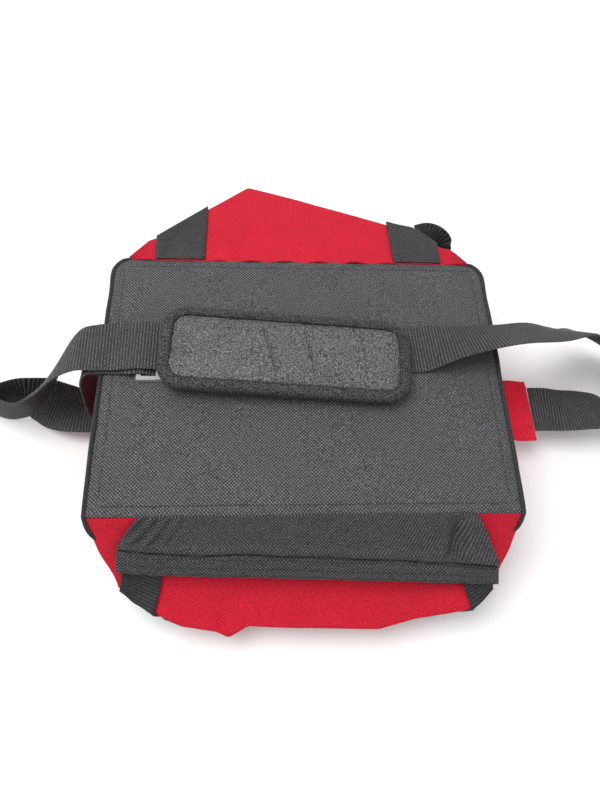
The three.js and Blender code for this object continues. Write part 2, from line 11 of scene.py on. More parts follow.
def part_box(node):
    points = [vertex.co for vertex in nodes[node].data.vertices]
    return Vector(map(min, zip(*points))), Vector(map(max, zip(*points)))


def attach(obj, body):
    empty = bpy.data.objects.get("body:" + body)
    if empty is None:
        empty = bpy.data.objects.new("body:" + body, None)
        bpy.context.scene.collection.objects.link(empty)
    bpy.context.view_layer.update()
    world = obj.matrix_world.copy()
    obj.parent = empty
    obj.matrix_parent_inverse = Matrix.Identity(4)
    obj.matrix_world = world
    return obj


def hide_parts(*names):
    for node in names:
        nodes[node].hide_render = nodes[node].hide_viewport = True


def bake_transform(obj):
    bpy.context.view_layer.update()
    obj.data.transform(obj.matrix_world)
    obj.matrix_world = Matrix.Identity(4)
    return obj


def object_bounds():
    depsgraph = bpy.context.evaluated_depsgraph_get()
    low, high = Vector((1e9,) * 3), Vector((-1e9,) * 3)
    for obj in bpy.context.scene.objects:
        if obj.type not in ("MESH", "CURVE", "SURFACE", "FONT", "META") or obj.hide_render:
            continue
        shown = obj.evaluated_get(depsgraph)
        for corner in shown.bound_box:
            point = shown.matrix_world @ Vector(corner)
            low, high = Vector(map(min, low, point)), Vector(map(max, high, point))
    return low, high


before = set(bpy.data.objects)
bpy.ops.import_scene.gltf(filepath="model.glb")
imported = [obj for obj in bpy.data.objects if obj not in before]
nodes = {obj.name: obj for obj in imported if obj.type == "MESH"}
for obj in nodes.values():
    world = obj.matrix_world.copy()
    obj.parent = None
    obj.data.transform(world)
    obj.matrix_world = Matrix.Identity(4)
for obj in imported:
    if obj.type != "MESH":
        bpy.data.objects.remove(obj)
cad_low, cad_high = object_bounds()
base_low, base_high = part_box("base_panel")
BASE_TOP = 76.0
BASE_HALF_X, BASE_HALF_Y, BASE_CORNER = 143, 100.5, 14
FABRIC = 1.6
WEBBING_WIDTH = 38.0
RIB_PITCH = 2.2
STRAP_STEP = 0.55
MM = 1000
UP = (0, 0, 1.0)
ORIGIN = np.array([(base_low[0] + base_high[0]) / 2, (base_low[1] + base_high[1]) / 2,
                   base_high[2] - BASE_TOP / MM])
scene = bpy.context.scene


def place(points):
    """Points in millimetres from the base's middle to the frame's metres."""
    return np.asarray(points, float) / MM + ORIGIN


# ---- camera: the angle of the photograph ----
LENS = 27.10
EYE = (-32.0, -192.6, 460.8)
YAW, PITCH, ROLL = (math.radians(a) for a in (-9.16, 65.31, 8.41))


def add_camera():
    data = bpy.data.cameras.new("camera")
    data.lens = LENS
    data.sensor_width = 36
    data.clip_start = 0.01
    camera = bpy.data.objects.new("camera", data)
    scene.collection.objects.link(camera)
    forward = Vector((-math.sin(YAW) * math.cos(PITCH), math.cos(YAW) * math.cos(PITCH), -math.sin(PITCH)))
    right = Vector((math.cos(YAW), math.sin(YAW), 0))
    up = right.cross(forward)
    x = right * math.cos(ROLL) + up * math.sin(ROLL)
    y = up * math.cos(ROLL) - right * math.sin(ROLL)
    matrix = Matrix((x, y, -forward)).transposed().to_4x4()
    matrix.translation = Vector(place(EYE))
    camera.matrix_world = matrix
    scene.camera = camera


add_camera()

# ---- shapes ----
def unit(v):
    return v / np.maximum(np.linalg.norm(v, axis=-1, keepdims=True), 1e-12)


def smoothstep(a, b, x):
    t = np.clip((np.asarray(x, float) - a) / (b - a), 0, 1)
    return t * t * (3 - 2 * t)


def bump(x, centre, width):
    """A smooth hump of height 1."""
    return np.exp(-((np.asarray(x, float) - centre) / width) ** 2)


def waves(x, y, scale, seed, octaves=5):
    """Smooth seeded noise, about -1 to 1."""
    rng = np.random.default_rng(seed)
    total = np.zeros(np.broadcast(x, y).shape)
    for _ in range(octaves):
        angle, phase = rng.uniform(0, 2 * math.pi, 2)
        k = 2 * math.pi / (scale * rng.uniform(0.7, 1.6))
        total = total + np.sin(k * (x * math.cos(angle) + y * math.sin(angle)) + phase)
    return total / octaves * 1.4


def spline(points, count):
    """Catmull-Rom curve with tension 0.5 through points, sampled evenly in its parameter."""
    p = np.asarray(points, float)
    ext = np.vstack([2 * p[0] - p[1], p, 2 * p[-1] - p[-2]])
    t = np.linspace(0, 1, count) * (len(p) - 1)
    i = np.minimum(t.astype(int), len(p) - 2)
    f = (t - i)[:, None]
    a, b, c, d = ext[i], ext[i + 1], ext[i + 2], ext[i + 3]
    m0, m1 = 0.5 * (c - a), 0.5 * (d - b)
    return (2 * b - 2 * c + m0 + m1) * f ** 3 + (3 * c - 3 * b - 2 * m0 - m1) * f ** 2 + m0 * f + b


def lengths(points):
    """How far along a line each of its points is."""
    return np.concatenate([[0], np.cumsum(np.linalg.norm(np.diff(points, axis=0), axis=1))])


def sample(points, s, t):
    """A line at the places t, where s gives the place of each of its points."""
    return np.column_stack([np.interp(t, s, points[:, k]) for k in range(points.shape[1])])


def strap_frames(stations):
    """Even frames (point, across, normal, length) along a strap's stations [x, y, z, wx, wy, wz]."""
    fine = spline(stations, 40 * len(stations))
    s = lengths(fine[:, :3])
    t = np.linspace(0, s[-1], max(4, int(round(s[-1] / STRAP_STEP)) + 1))
    even = sample(fine, s, t)
    points, across = even[:, :3], even[:, 3:]
    tangent = unit(np.gradient(points, axis=0))
    across = unit(across - tangent * np.sum(across * tangent, axis=1, keepdims=True))
    return points, across, np.cross(tangent, across), t


def chaikin(points, rounds):
    """Rounds the corners of a polyline and keeps its ends."""
    p = np.asarray(points, float)
    for _ in range(rounds):
        q = np.empty((2 * len(p), p.shape[1]))
        q[0], q[-1] = p[0], p[-1]
        q[1:-1:2] = 0.75 * p[:-1] + 0.25 * p[1:]
        q[2:-1:2] = 0.25 * p[:-1] + 0.75 * p[1:]
        p = q
    return p


def grid_normals(grid):
    return unit(np.cross(np.gradient(grid, axis=0), np.gradient(grid, axis=1)))


def uv_map(u, v):
    return np.dstack(np.meshgrid(u, v, indexing="ij"))


def grid_uv(grid):
    """Lengths along the middle row and column, in millimetres."""
    m, n = grid.shape[:2]
    return uv_map(lengths(grid[:, n // 2]), lengths(grid[m // 2]))


def grid_rim(m, n):
    """The places (i, j) round the edge of a grid."""
    rim = [(i, 0) for i in range(m)] + [(m - 1, j) for j in range(1, n)]
    return rim + [(i, n - 1) for i in range(m - 2, -1, -1)] + [(0, j) for j in range(n - 2, 0, -1)]


def grid_faces(m, n):
    """A grid's point numbers, and the faces of it and of a second grid that lies under it."""
    a = np.arange(m * n).reshape(m, n)
    top = np.stack([a[:-1, :-1], a[1:, :-1], a[1:, 1:], a[:-1, 1:]], -1).reshape(-1, 4)
    return a, list(top) + list(m * n + top[:, [0, 3, 2, 1]])


def make_mesh(name, points, faces, uv=None):
    mesh = bpy.data.meshes.new(name)
    mesh.from_pydata(place(points).tolist(), [], [tuple(int(i) for i in f) for f in faces])
    if uv is not None:
        layer = mesh.uv_layers.new(name="mm")
        loops = np.empty(len(mesh.loops), int)
        mesh.loops.foreach_get("vertex_index", loops)
        layer.data.foreach_set("uv", np.asarray(uv, float)[loops].ravel())
    mesh.shade_smooth()
    obj = bpy.data.objects.new(name, mesh)
    scene.collection.objects.link(obj)
    fix = bmesh.new()
    fix.from_mesh(mesh)
    bmesh.ops.recalc_face_normals(fix, faces=fix.faces)
    fix.to_mesh(mesh)
    fix.free()
    return obj


def sheet(name, grid, thickness, uv=None):
    """A closed sheet about a grid of middle points, with rounded edges."""
    half = grid_normals(grid) * (thickness / 2)
    m, n = grid.shape[:2]
    uv = grid_uv(grid) if uv is None else uv
    rim = grid_rim(m, n)
    edge = []
    for i, j in rim:
        away = np.zeros(3)
        if i in (0, m - 1):
            away += unit(grid[i, j] - grid[1 if i == 0 else m - 2, j])
        if j in (0, n - 1):
            away += unit(grid[i, j] - grid[i, 1 if j == 0 else n - 2])
        edge.append(grid[i, j] + unit(away) * thickness * 0.35)
    points = np.vstack([(grid + half).reshape(-1, 3), (grid - half).reshape(-1, 3), edge])
    a, faces = grid_faces(m, n)
    r = len(rim)
    for k in range(r):
        p, q = a[rim[k]], a[rim[(k + 1) % r]]
        e, f = 2 * m * n + k, 2 * m * n + (k + 1) % r
        faces.append((p, e, f, q))
        faces.append((m * n + p, m * n + q, f, e))
    flat = uv.reshape(-1, 2)
    rim_uv = np.array([uv[i, j] for i, j in rim])
    return make_mesh(name, points, faces, np.vstack([flat, flat, rim_uv]))


def swept(name, rings, along, around):
    """A skin over rings of points with closed ends; along and around are its map's lengths."""
    m, n = rings.shape[:2]
    a = np.arange(m * n).reshape(m, n)
    b = np.roll(a, -1, axis=1)
    faces = list(np.stack([a[:-1], b[:-1], b[1:], a[1:]], -1).reshape(-1, 4))
    faces += [tuple(a[0][::-1]), tuple(a[-1])]
    return make_mesh(name, rings.reshape(-1, 3), faces, uv_map(along, around).reshape(-1, 2))


def ribbon(name, frames, thickness, rib=0.22):
    """A webbing strap with real ribs across it."""
    points, across, normal, t = frames
    side = np.array([-1, -0.985, -0.93, -0.7, -0.35, 0, 0.35, 0.7, 0.93, 0.985, 1])
    taper = np.array([0.35, 0.75, 0.95, 1, 1, 1, 1, 1, 0.95, 0.75, 0.35])
    wave = np.cos(2 * math.pi * t / RIB_PITCH)
    rows = []
    for face in (1, -1):
        s, k = side[::face], taper[::face]
        grow = thickness / 2 * k[None, :] + rib * wave[:, None] * (k[None, :] > 0.9)
        rows.append(points[:, None] + across[:, None] * s[None, :, None] * WEBBING_WIDTH / 2
                    + face * normal[:, None] * grow[..., None])
    v = np.concatenate([side, side[::-1]]) * WEBBING_WIDTH / 2
    return swept(name, np.concatenate(rows, axis=1), t, v)


def ribbed_sheet(name, grid, thickness):
    """A ribbed sheet of webbing: the grid's first axis runs across it and the second along it."""
    t = lengths(grid[len(grid) // 2])
    ribs = 0.2 * np.cos(2 * math.pi * t / RIB_PITCH)[None, :, None]
    across = np.linspace(-WEBBING_WIDTH / 2, WEBBING_WIDTH / 2, len(grid))
    return sheet(name, grid + grid_normals(grid) * ribs, thickness, uv_map(across, t)[..., ::-1])


def tube(name, points, radius, swell, pitch):
    """A round tube along points, with a slight swelling every pitch."""
    sides = 14
    tangent = unit(np.gradient(points, axis=0))
    s = lengths(points)
    angle = np.linspace(0, 2 * math.pi, sides, endpoint=False)
    up = np.array(UP)
    rings = []
    for k in range(len(points)):
        up = unit(up - tangent[k] * np.dot(up, tangent[k]))
        aside = np.cross(tangent[k], up)
        r = radius + swell * np.cos(2 * math.pi * s[k] / pitch)
        rings.append(points[k] + np.outer(r * np.cos(angle), up) + np.outer(r * np.sin(angle), aside))
    return swept(name, np.array(rings), s, np.arange(sides) * 2 * math.pi * radius / sides)


def stitches(name, lines, pitch=3.0):
    """Rows of thread: each line is (points, normals), and each stitch a small rounded bar."""
    width, fill = 0.55, 0.74
    points, faces = [], []
    for line, normals in lines:
        s = lengths(line)
        count = max(1, int(s[-1] / pitch))
        at = lambda q, v: np.array([np.interp(q, s, v[:, k]) for k in range(3)])
        for k in range(count):
            q = (k + 0.5) * s[-1] / count
            a = at(q - pitch * fill / 2, line)
            b = at(q + pitch * fill / 2, line)
            n = unit(at(q, normals))
            w = np.cross(n, unit(b - a))
            base = len(points)
            for f, r, h in ((0, 0.35, -0.15), (0.18, 1, 0.28), (0.82, 1, 0.28), (1, 0.35, -0.15)):
                c = a + (b - a) * f
                for e, g in ((-1, -0.3), (-0.6, 1), (0.6, 1), (1, -0.3)):
                    points.append(c + w * e * r * width / 2 + n * (h + g * 0.12))
            for i in range(3):
                for j in range(4):
                    p = base + 4 * i
                    faces.append((p + j, p + (j + 1) % 4, p + 4 + (j + 1) % 4, p + 4 + j))
            faces.append((base + 3, base + 2, base + 1, base))
            faces.append((base + 12, base + 13, base + 14, base + 15))
    return make_mesh(name, np.array(points), faces)


def flat_line(x, y, z):
    """A line to stitch on a face that looks up; a coordinate that stays the same is one number."""
    points = np.column_stack(np.broadcast_arrays(x, y, z))
    return points, np.tile(UP, (len(points), 1))


def line_on(grid, start, end, place_j, count, side):
    """A line to stitch on one side of a sheet, from start to end at place_j, as shares of the grid."""
    normals = grid_normals(grid) * side
    m, n = grid.shape[:2]
    y = place_j * (n - 1)
    j = min(int(y), n - 2)
    g = y - j
    line, out = [], []
    for x in np.linspace(start, end, count) * (m - 1):
        i = min(int(x), m - 2)
        f = x - i
        pick = lambda v: ((1 - f) * (1 - g) * v[i, j] + f * (1 - g) * v[i + 1, j]
                          + (1 - f) * g * v[i, j + 1] + f * g * v[i + 1, j + 1])
        normal = unit(pick(normals))
        line.append(pick(grid) + normal * FABRIC / 2)
        out.append(normal)
    return np.array(line), np.array(out)


# ---- materials ----
FINE = 1100  # the scale of the noise that speckles cloth
MATT = {"speckle": 0.5, "sheen": 0, "gloss": 0.2}  # what both red cloths share
class Nodes:
    """A short way to build a material's node tree."""

    def __init__(self, name, color, roughness, metallic=0.0, **extra):
        self.material = bpy.data.materials.new(name)
        self.material.use_nodes = True
        self.tree = self.material.node_tree
        self.shader = self.tree.nodes["Principled BSDF"]
        self.color = color
        self.shader.inputs["Base Color"].default_value = (*color, 1)
        self.shader.inputs["Roughness"].default_value = roughness
        self.shader.inputs["Metallic"].default_value = metallic
        for key, value in extra.items():
            self.shader.inputs[key.replace("_", " ")].default_value = value

    def node(self, kind, **values):
        n = self.tree.nodes.new(kind)
        for key, value in values.items():
            setattr(n, key, value)
        return n

    def link(self, a, b):
        self.tree.links.new(a, b)

    def math(self, operation, a, b=None, c=None):
        n = self.node("ShaderNodeMath", operation=operation)
        for k, value in enumerate((a, b, c)):
            if value is None:
                continue
            if hasattr(value, "links"):
                self.link(value, n.inputs[k])
            else:
                n.inputs[k].default_value = value
        return n.outputs[0]

    def uv(self):
        n = self.node("ShaderNodeUVMap", uv_map="mm")
        split = self.node("ShaderNodeSeparateXYZ")
        self.link(n.outputs[0], split.inputs[0])
        return split.outputs[0], split.outputs[1]

    def object_xyz(self):
        return self.node("ShaderNodeTexCoord").outputs["Object"]

    def noise(self, scale, detail=3.0):
        n = self.node("ShaderNodeTexNoise")
        n.inputs["Scale"].default_value = scale
        n.inputs["Detail"].default_value = detail
        n.inputs["Roughness"].default_value = 0.55
        self.link(self.object_xyz(), n.inputs["Vector"])
        return n.outputs["Fac"]

    def sine(self, value, period, phase=0.0):
        """0 to 1 along value with the given period."""
        s = self.math("SINE", self.math("MULTIPLY_ADD", value, 2 * math.pi / period, phase))
        return self.math("MULTIPLY_ADD", s, 0.5, 0.5)

    def span(self, factor, low, high):
        """A factor of 0 to 1, stretched to run from low to high."""
        ramp = self.node("ShaderNodeMapRange")
        ramp.inputs["To Min"].default_value = low
        ramp.inputs["To Max"].default_value = high
        self.link(factor, ramp.inputs["Value"])
        return ramp.outputs[0]

    def paint(self, *factors):
        """Multiplies the base colour by each factor."""
        total = factors[0]
        for f in factors[1:]:
            total = self.math("MULTIPLY", total, f)
        mix = self.node("ShaderNodeVectorMath", operation="SCALE")
        mix.inputs[0].default_value = self.color
        self.link(total, mix.inputs["Scale"])
        self.link(mix.outputs[0], self.shader.inputs["Base Color"])

    def bump(self, height, distance):
        n = self.node("ShaderNodeBump")
        n.inputs["Distance"].default_value = distance
        self.link(height, n.inputs["Height"])
        self.link(n.outputs[0], self.shader.inputs["Normal"])

    def rough(self, factor, low, high):
        self.link(self.span(factor, low, high), self.shader.inputs["Roughness"])


def woven(name, color, pitch, roughness, contrast=0.8, speckle=1.1, sheen=0.04, gloss=0.3):
    """A twill: fine diagonal lines cross each other at the pitch, and a fine noise speckles them."""
    m = Nodes(name, color, roughness, Sheen_Weight=sheen, Sheen_Roughness=0.45, Specular_IOR_Level=gloss)
    u, v = m.uv()
    rising = m.sine(m.math("ADD", u, v), pitch * 1.41)
    falling = m.sine(m.math("SUBTRACT", u, v), pitch * 1.41)
    threads = m.math("MULTIPLY_ADD", falling, 0.45, m.math("MULTIPLY", rising, 0.55))
    m.paint(m.span(threads, 1 - contrast, 1 + contrast), m.span(m.noise(38, 2), 0.9, 1.1),
            m.span(m.noise(FINE, 0), 1 - speckle, 1 + speckle))
    m.rough(m.noise(60, 2), roughness - 0.06, roughness + 0.06)
    m.bump(threads, 0.0002)
    return m.material


def webbing_material(name, color):
    """Ribs across the strap, crossed by slanting yarns, with a fine noise over both."""
    m = Nodes(name, color, 0.6, Sheen_Weight=0.06, Sheen_Roughness=0.4, Specular_IOR_Level=0.35)
    u, v = m.uv()
    ribs = m.sine(u, RIB_PITCH, math.pi / 2)
    yarn = m.sine(m.math("MULTIPLY_ADD", u, 0.5, v), 1.9)
    height = m.math("MULTIPLY_ADD", yarn, 0.45, ribs)
    # painted shade and light: the colour darkens in the valleys between the ribs and lightens on their crests
    m.paint(m.span(ribs, 0.25, 1.7), m.span(yarn, 0.6, 1.4), m.span(m.noise(45, 2), 0.9, 1.1),
            m.span(m.noise(FINE, 0), -0.2, 2.2))
    m.bump(height, 0.00022)
    return m.material


def leatherette_material(name, color):
    """A coated cloth with a grain of small cells."""
    m = Nodes(name, color, 0.36, Specular_IOR_Level=0.55, Coat_Weight=0.12, Coat_Roughness=0.25)
    cells = m.node("ShaderNodeTexVoronoi")
    cells.inputs["Scale"].default_value = 1000
    m.link(m.object_xyz(), cells.inputs["Vector"])
    grain = cells.outputs["Distance"]
    m.paint(m.span(grain, 0.5, 1.5), m.span(m.noise(1150, 0), -1.4, 3.4),
            m.span(m.noise(30, 2), 0.93, 1.07))
    m.rough(m.noise(700, 2), 0.24, 0.46)
    m.bump(m.math("MULTIPLY_ADD", m.noise(FINE, 0), 0.9, grain), 0.0006)
    return m.material


def solid_material(name, color, roughness, metallic=0.0, grain=300.0, depth=0.00003, spread=0.1):
    """A smooth solid with a slight grain."""
    m = Nodes(name, color, roughness, metallic)
    m.paint(m.span(m.noise(grain, 3), 1 - spread, 1 + spread))
    m.rough(m.noise(grain / 4, 3), max(0.02, roughness - 0.08), roughness + 0.08)
    m.bump(m.noise(grain * 4, 2), depth)
    return m.material


MATERIALS = {"pad_leatherette": leatherette_material("pad_leatherette", (0.076, 0.076, 0.080))}
for name, color, pitch, roughness, look in (
        ("black_fabric", (0.068, 0.068, 0.072), 1.7, 0.78, {"contrast": 1.0}),
        # painted shade: the pocket is the same black fabric, made darker to stand in for the shade on the
        # pocket
        ("pocket_painted_shade_fabric", (0.044, 0.044, 0.047), 1.7, 0.78, {"contrast": 1.0}),
        ("red_fabric", (0.50, 0.0085, 0.026), 1.6, 0.78, {"contrast": 0.3, **MATT}),
        # painted light: the tabs are the shell's red cloth; this brighter copy stands in for the light on
        # them
        ("red_tab_painted_light_fabric", (0.66, 0.012, 0.038), 1.6, 0.75, {"contrast": 0.25, **MATT}),
        ("piping", (0.028, 0.028, 0.031), 1.2, 0.7, {}),
        ("zipper_tape", (0.025, 0.025, 0.027), 1.0, 0.8, {}),
        ("pad_binding", (0.036, 0.036, 0.038), 1.5, 0.7, {"speckle": 2.4}),
        ("pad_backing", (0.03, 0.03, 0.033), 1.5, 0.8, {})):
    MATERIALS[name] = woven(name, color, pitch, roughness, **look)
# painted shade: the handle webbing's colour is a darker copy of the strap webbing, standing in for the shade
# on the handle legs
for name, color in (("webbing", (0.043, 0.043, 0.046)), ("handle_webbing_painted_shade", (0.023, 0.023, 0.025))):
    MATERIALS[name] = webbing_material(name, color)
for name, color, roughness, look in (
        ("stiffener", (0.03, 0.03, 0.03), 0.5, {}),
        ("zipper_coil", (0.02, 0.02, 0.022), 0.32, {}),
        ("zipper_metal", (0.45, 0.45, 0.47), 0.3, {"metallic": 1.0, "spread": 0.15}),
        ("black_plastic", (0.02, 0.02, 0.022), 0.38, {}),
        # painted glint: the adjuster is black glossy plastic; this light grey stands in for the light it
        # reflects
        ("grey_plastic", (0.30, 0.30, 0.31), 0.42, {}),
        ("foam", (0.03, 0.03, 0.03), 0.9, {"grain": 900, "depth": 0.0002}),
        ("thread", (0.016, 0.016, 0.018), 0.55, {"grain": 2000}),
        ("thread_light", (0.11, 0.11, 0.12), 0.5, {"grain": 2000}),
        ("thread_red", (0.2, 0.008, 0.016), 0.5, {"grain": 2000})):
    MATERIALS[name] = solid_material(name, color, roughness, **look)


def coat(obj, material):
    obj.data.materials.clear()
    obj.data.materials.append(MATERIALS[material])


def finish(obj, material, body="shell", replace=()):
    """Gives a piece its material, body and the CAD nodes that it stands for."""
    coat(obj, material)
    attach(obj, body)
    if replace:
        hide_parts(*replace)


def cloth(node, grid, material, thickness=FABRIC, uv=None, body="shell", slot=None):
    """A sheet that stands for one CAD node."""
    obj = sheet(node + "_cloth", grid, thickness, uv)
    finish(obj, material, body, [node])
    return obj


# ---- the shell's surfaces ----
BACK_CREASE = np.array([
    (-133, 103, 73.8), (-120, 124, 69.5), (-112, 128, 68.5), (-80, 165, 58), (-62, 184, 52.5),
    (-43, 204, 47), (3, 185, 52.5), (82, 149, 62.5), (96, 144, 64.5), (116, 121, 70), (124, 119, 70.5),
    (134, 103, 73.8)], float)
FRONT_CREASE = np.array([
    (-125.5, -139, 38.5), (-117, -147, 34), (-102, -156, 31), (-85, -164, 29), (-61, -168, 28),
    (-53, -172, 26), (-40, -165, 29), (-5, -167, 30), (49, -169, 30), (74, -163, 31), (98, -160, 32),
    (112, -158, 33), (119, -153, 35), (128.5, -143, 38.5)], float)
BACK_LEFT_X, BACK_RIGHT_X = BACK_CREASE[0, 0], BACK_CREASE[-1, 0]
FRONT_LEFT_X, FRONT_RIGHT_X = FRONT_CREASE[0, 0], FRONT_CREASE[-1, 0]


def edge_at(edge, x):
    """The point at x on an edge that runs in X."""
    return np.array([x, np.interp(x, edge[:, 0], edge[:, 1]), np.interp(x, edge[:, 0], edge[:, 2])])


def crease_at(crease, x):
    """The crease's point at x, with its corners eased."""
    near = [min(max(x + shift, crease[0, 0]), crease[-1, 0]) for shift in (-1.6, -0.8, 0, 0.8, 1.6)]
    point = sum(edge_at(crease, q) for q in near) / len(near)
    point[0] = x
    return point


def side_section(seam, crease, under, sag):
    sign = np.sign(crease[1])
    fold = crease + np.array([0, -sign * 3, -5])
    upper = []
    for t in np.linspace(0, 1, 5, endpoint=False):
        upper.append(seam + (crease - seam) * t - np.array([0, 0, sag * math.sin(math.pi * t)]))
    lower = [fold + (under - fold) * t for t in np.linspace(0, 1, 6)]
    return np.array(upper + [crease] + lower)


def back_section(x):
    return side_section(np.array([x * 0.985, 100.7, 75.1]), crease_at(BACK_CREASE, x),
                        np.array([x * 0.94, 99.6, 1.1]), 0)


def front_sag(x):
    """How far the front cloth hangs below a straight line from its seam to its crease."""
    return 5 + 14 * max(0.0, 1 - (abs(x) / 128) ** 4) ** 1.5


def front_section(x, seam_x=None):
    if seam_x is None:
        seam_x = -139 + 278 * (x - FRONT_LEFT_X) / (FRONT_RIGHT_X - FRONT_LEFT_X)
    return side_section(np.array([seam_x, -100.7, 72.6]), crease_at(FRONT_CREASE, x),
                        np.array([x * 0.95, -99.6, 1.1]), front_sag(x))


# ---- base panel ----
def base_surface(x, y):
    """Height of the base, with soft rumples and puckers at its stitched edges."""
    edge_x = BASE_HALF_X - np.abs(x)
    edge_y = BASE_HALF_Y - np.abs(y)
    z = 0.42 * waves(x, y, 70, 3) + 0.2 * waves(x, y, 26, 4) - 0.35
    z = z + 0.22 * waves(x, y * 0.3, 9, 5) * np.exp(-np.maximum(edge_y, 0) / 9)
    z = z + 0.16 * waves(x * 0.3, y, 9, 6) * np.exp(-np.maximum(edge_x, 0) / 7)
    z = z - 0.9 * bump(edge_x, 0, 2.2) - 0.5 * bump(edge_x, 7.2, 1.2)
    z = z - 0.8 * bump(edge_y, 0, 2.0) - 0.45 * bump(edge_y, 5.5, 1.1)
    z = z + 0.7 * bump(y + 0.55 * x, -120, 9) * smoothstep(40, 0, np.abs(x + 95))
    return BASE_TOP + np.minimum(z, 0.25)


def rounded_grid(half_x, half_y, radius, columns, rows, near=None):
    """A grid of x and y that fills a rectangle with rounded corners; near is the radius of the -Y corners."""
    y = np.linspace(-half_y, half_y, rows)
    r = np.where(y < 0, radius if near is None else near, radius)
    over = np.maximum(0, np.abs(y) - (half_y - r))
    reach = half_x - r + np.sqrt(np.maximum(r ** 2 - over ** 2, 0))
    u = np.linspace(-1, 1, columns)
    return u[:, None] * reach[None, :], np.repeat(y[None, :], columns, 0)


def make_base():
    x, y = rounded_grid(BASE_HALF_X, BASE_HALF_Y, BASE_CORNER, 240, 200, near=1.2)
    grid = np.dstack([x, y, base_surface(x, y) - FABRIC / 2])
    panel = cloth("base_panel", grid, "black_fabric", uv=np.dstack([x, y]))
    coat(nodes["base_board"], "stiffener")
    lines = []
    xs = np.linspace(-134, 134, 200)
    for y in (-94.0, 94.0):
        lines.append(flat_line(xs, y, base_surface(xs, y)))
    ys = np.linspace(-89, 90, 150)
    for x in (-135.8, 135.8):
        lines.append(flat_line(x, ys, base_surface(x, ys)))
    finish(stitches("base_topstitching", lines), "thread")


make_base()


# ---- back panel ----
def panel_grid(section_at, x0, x1):
    """A side panel's grid, its x, and how far each point is from the seam (0) to the floor (1)."""
    columns = 240
    grid = np.array([chaikin(section_at(x), 2) for x in np.linspace(x0, x1, columns)])
    return grid, grid[..., 0], np.linspace(0, 1, grid.shape[1])[None, :] * np.ones((columns, 1))


def push(grid, amount):
    """Moves a grid along its normals."""
    return grid + grid_normals(grid) * amount[..., None]


def make_back_panel():
    grid, x, v = panel_grid(back_section, BACK_LEFT_X, BACK_RIGHT_X)
    upper = smoothstep(0.5, 0.4, v)
    near = np.exp(-np.abs(grid[..., 1] - 100) / 14) * upper
    folds = 0.9 * waves(x, v * 20, 17, 11) * near
    folds += 0.7 * waves(x + 60 * v, v * 40, 42, 12) * upper * smoothstep(0.0, 0.1, v)
    folds += 1.1 * bump(x + 46 - 70 * (v - 0.1), 0, 5) * upper * smoothstep(0.32, 0.06, v)
    folds += 0.8 * bump(x + 68 - 55 * (v - 0.1), 0, 4) * upper * smoothstep(0.28, 0.05, v)
    folds += 0.8 * bump(x - 20 + 60 * (v - 0.1), 0, 6) * upper * smoothstep(0.3, 0.06, v)
    folds += 1.0 * waves(x, v * 50, 30, 13) * smoothstep(0.5, 0.62, v) * smoothstep(1, 0.9, v)
    quiet = 1 - 0.85 * (bump(x, -95, 24) + bump(x, 94, 24)) * upper
    grid = push(grid, np.minimum(folds * quiet * -1, 1.4))
    cloth("back_panel", grid, "red_fabric")
    line = line_on(grid, 0.04, 0.96, 0.022, 220, -1)
    finish(stitches("back_seam_stitching", [line]), "thread_red")


make_back_panel()


# ---- front panel ----
def make_front_panel():
    grid, x, v = panel_grid(front_section, FRONT_LEFT_X, FRONT_RIGHT_X)
    upper = smoothstep(0.52, 0.40, v)
    middle = smoothstep(1, 0.88, np.abs(x) / 128)
    folds = 0.9 * waves(x, v * 60, 34, 21) * upper * smoothstep(0.2, 0.4, v) * middle
    folds += 1.2 * bump(x + 58 - 30 * (v - 0.4), 0, 5) * upper * smoothstep(0.3, 0.45, v)
    folds += 0.9 * waves(x, v * 40, 26, 22) * smoothstep(0.55, 0.65, v) * smoothstep(1, 0.9, v) * middle
    grid = push(grid, np.clip(folds, -1.6, 1.0))
    place_x = np.linspace(-1, 1, len(grid))[:, None]
    reach = 4.6 * (smoothstep(0.90, 1.0, place_x) - smoothstep(0.90, 1.0, -place_x))
    grid[..., 0] += reach * smoothstep(0.42, 0.20, v)
    cloth("front_panel", grid, "red_fabric")


make_front_panel()


# ---- end panels and piping ----
def make_end(side, crease_x, name):
    rows, columns = 60, 50
    front_y, back_y = -96, 95
    top_z, low_z = 70.6, 3.4
    top_x, tuck_top_x = 136.2, 140.6
    grid = np.zeros((rows, columns, 3))
    for i, s in enumerate(np.linspace(0, 1, rows)):
        for j, v in enumerate(np.linspace(0, 1, columns)):
            front = front_y - 30 * math.sin(math.pi * v) ** 1.6
            edge_x = top_x + (crease_x - 3.9 - top_x) * min(1, v * 2) - 5 * max(0, v - 0.5)
            tuck_x = tuck_top_x - 11 * math.sin(math.pi * v) ** 2 - 6 * v
            x = edge_x + (tuck_x - edge_x) * min(1, s * 3) ** 2
            corner = float(smoothstep(0.92, 1.0, s))
            x = x - corner * (x - 122)
            grid[i, j] = (side * x, front + (back_y - front) * s + 3.0 * corner, top_z + (low_z - top_z) * v)
    s = np.linspace(0, 1, rows)[:, None]
    v = np.linspace(0, 1, columns)[None, :]
    inner = np.sin(math.pi * s) * np.sin(math.pi * v)
    grid[..., 0] -= side * inner * (1.2 + 1.5 * waves(s * 190, v * 70, 36, 31 + side)
                                    + 1.4 * bump(v, 0.45 + 0.12 * np.sin(5 * s), 0.1))
    cloth(name, grid, "red_fabric")


make_end(-1, -FRONT_LEFT_X, "left_end_panel")
make_end(1, FRONT_RIGHT_X, "right_end_panel")


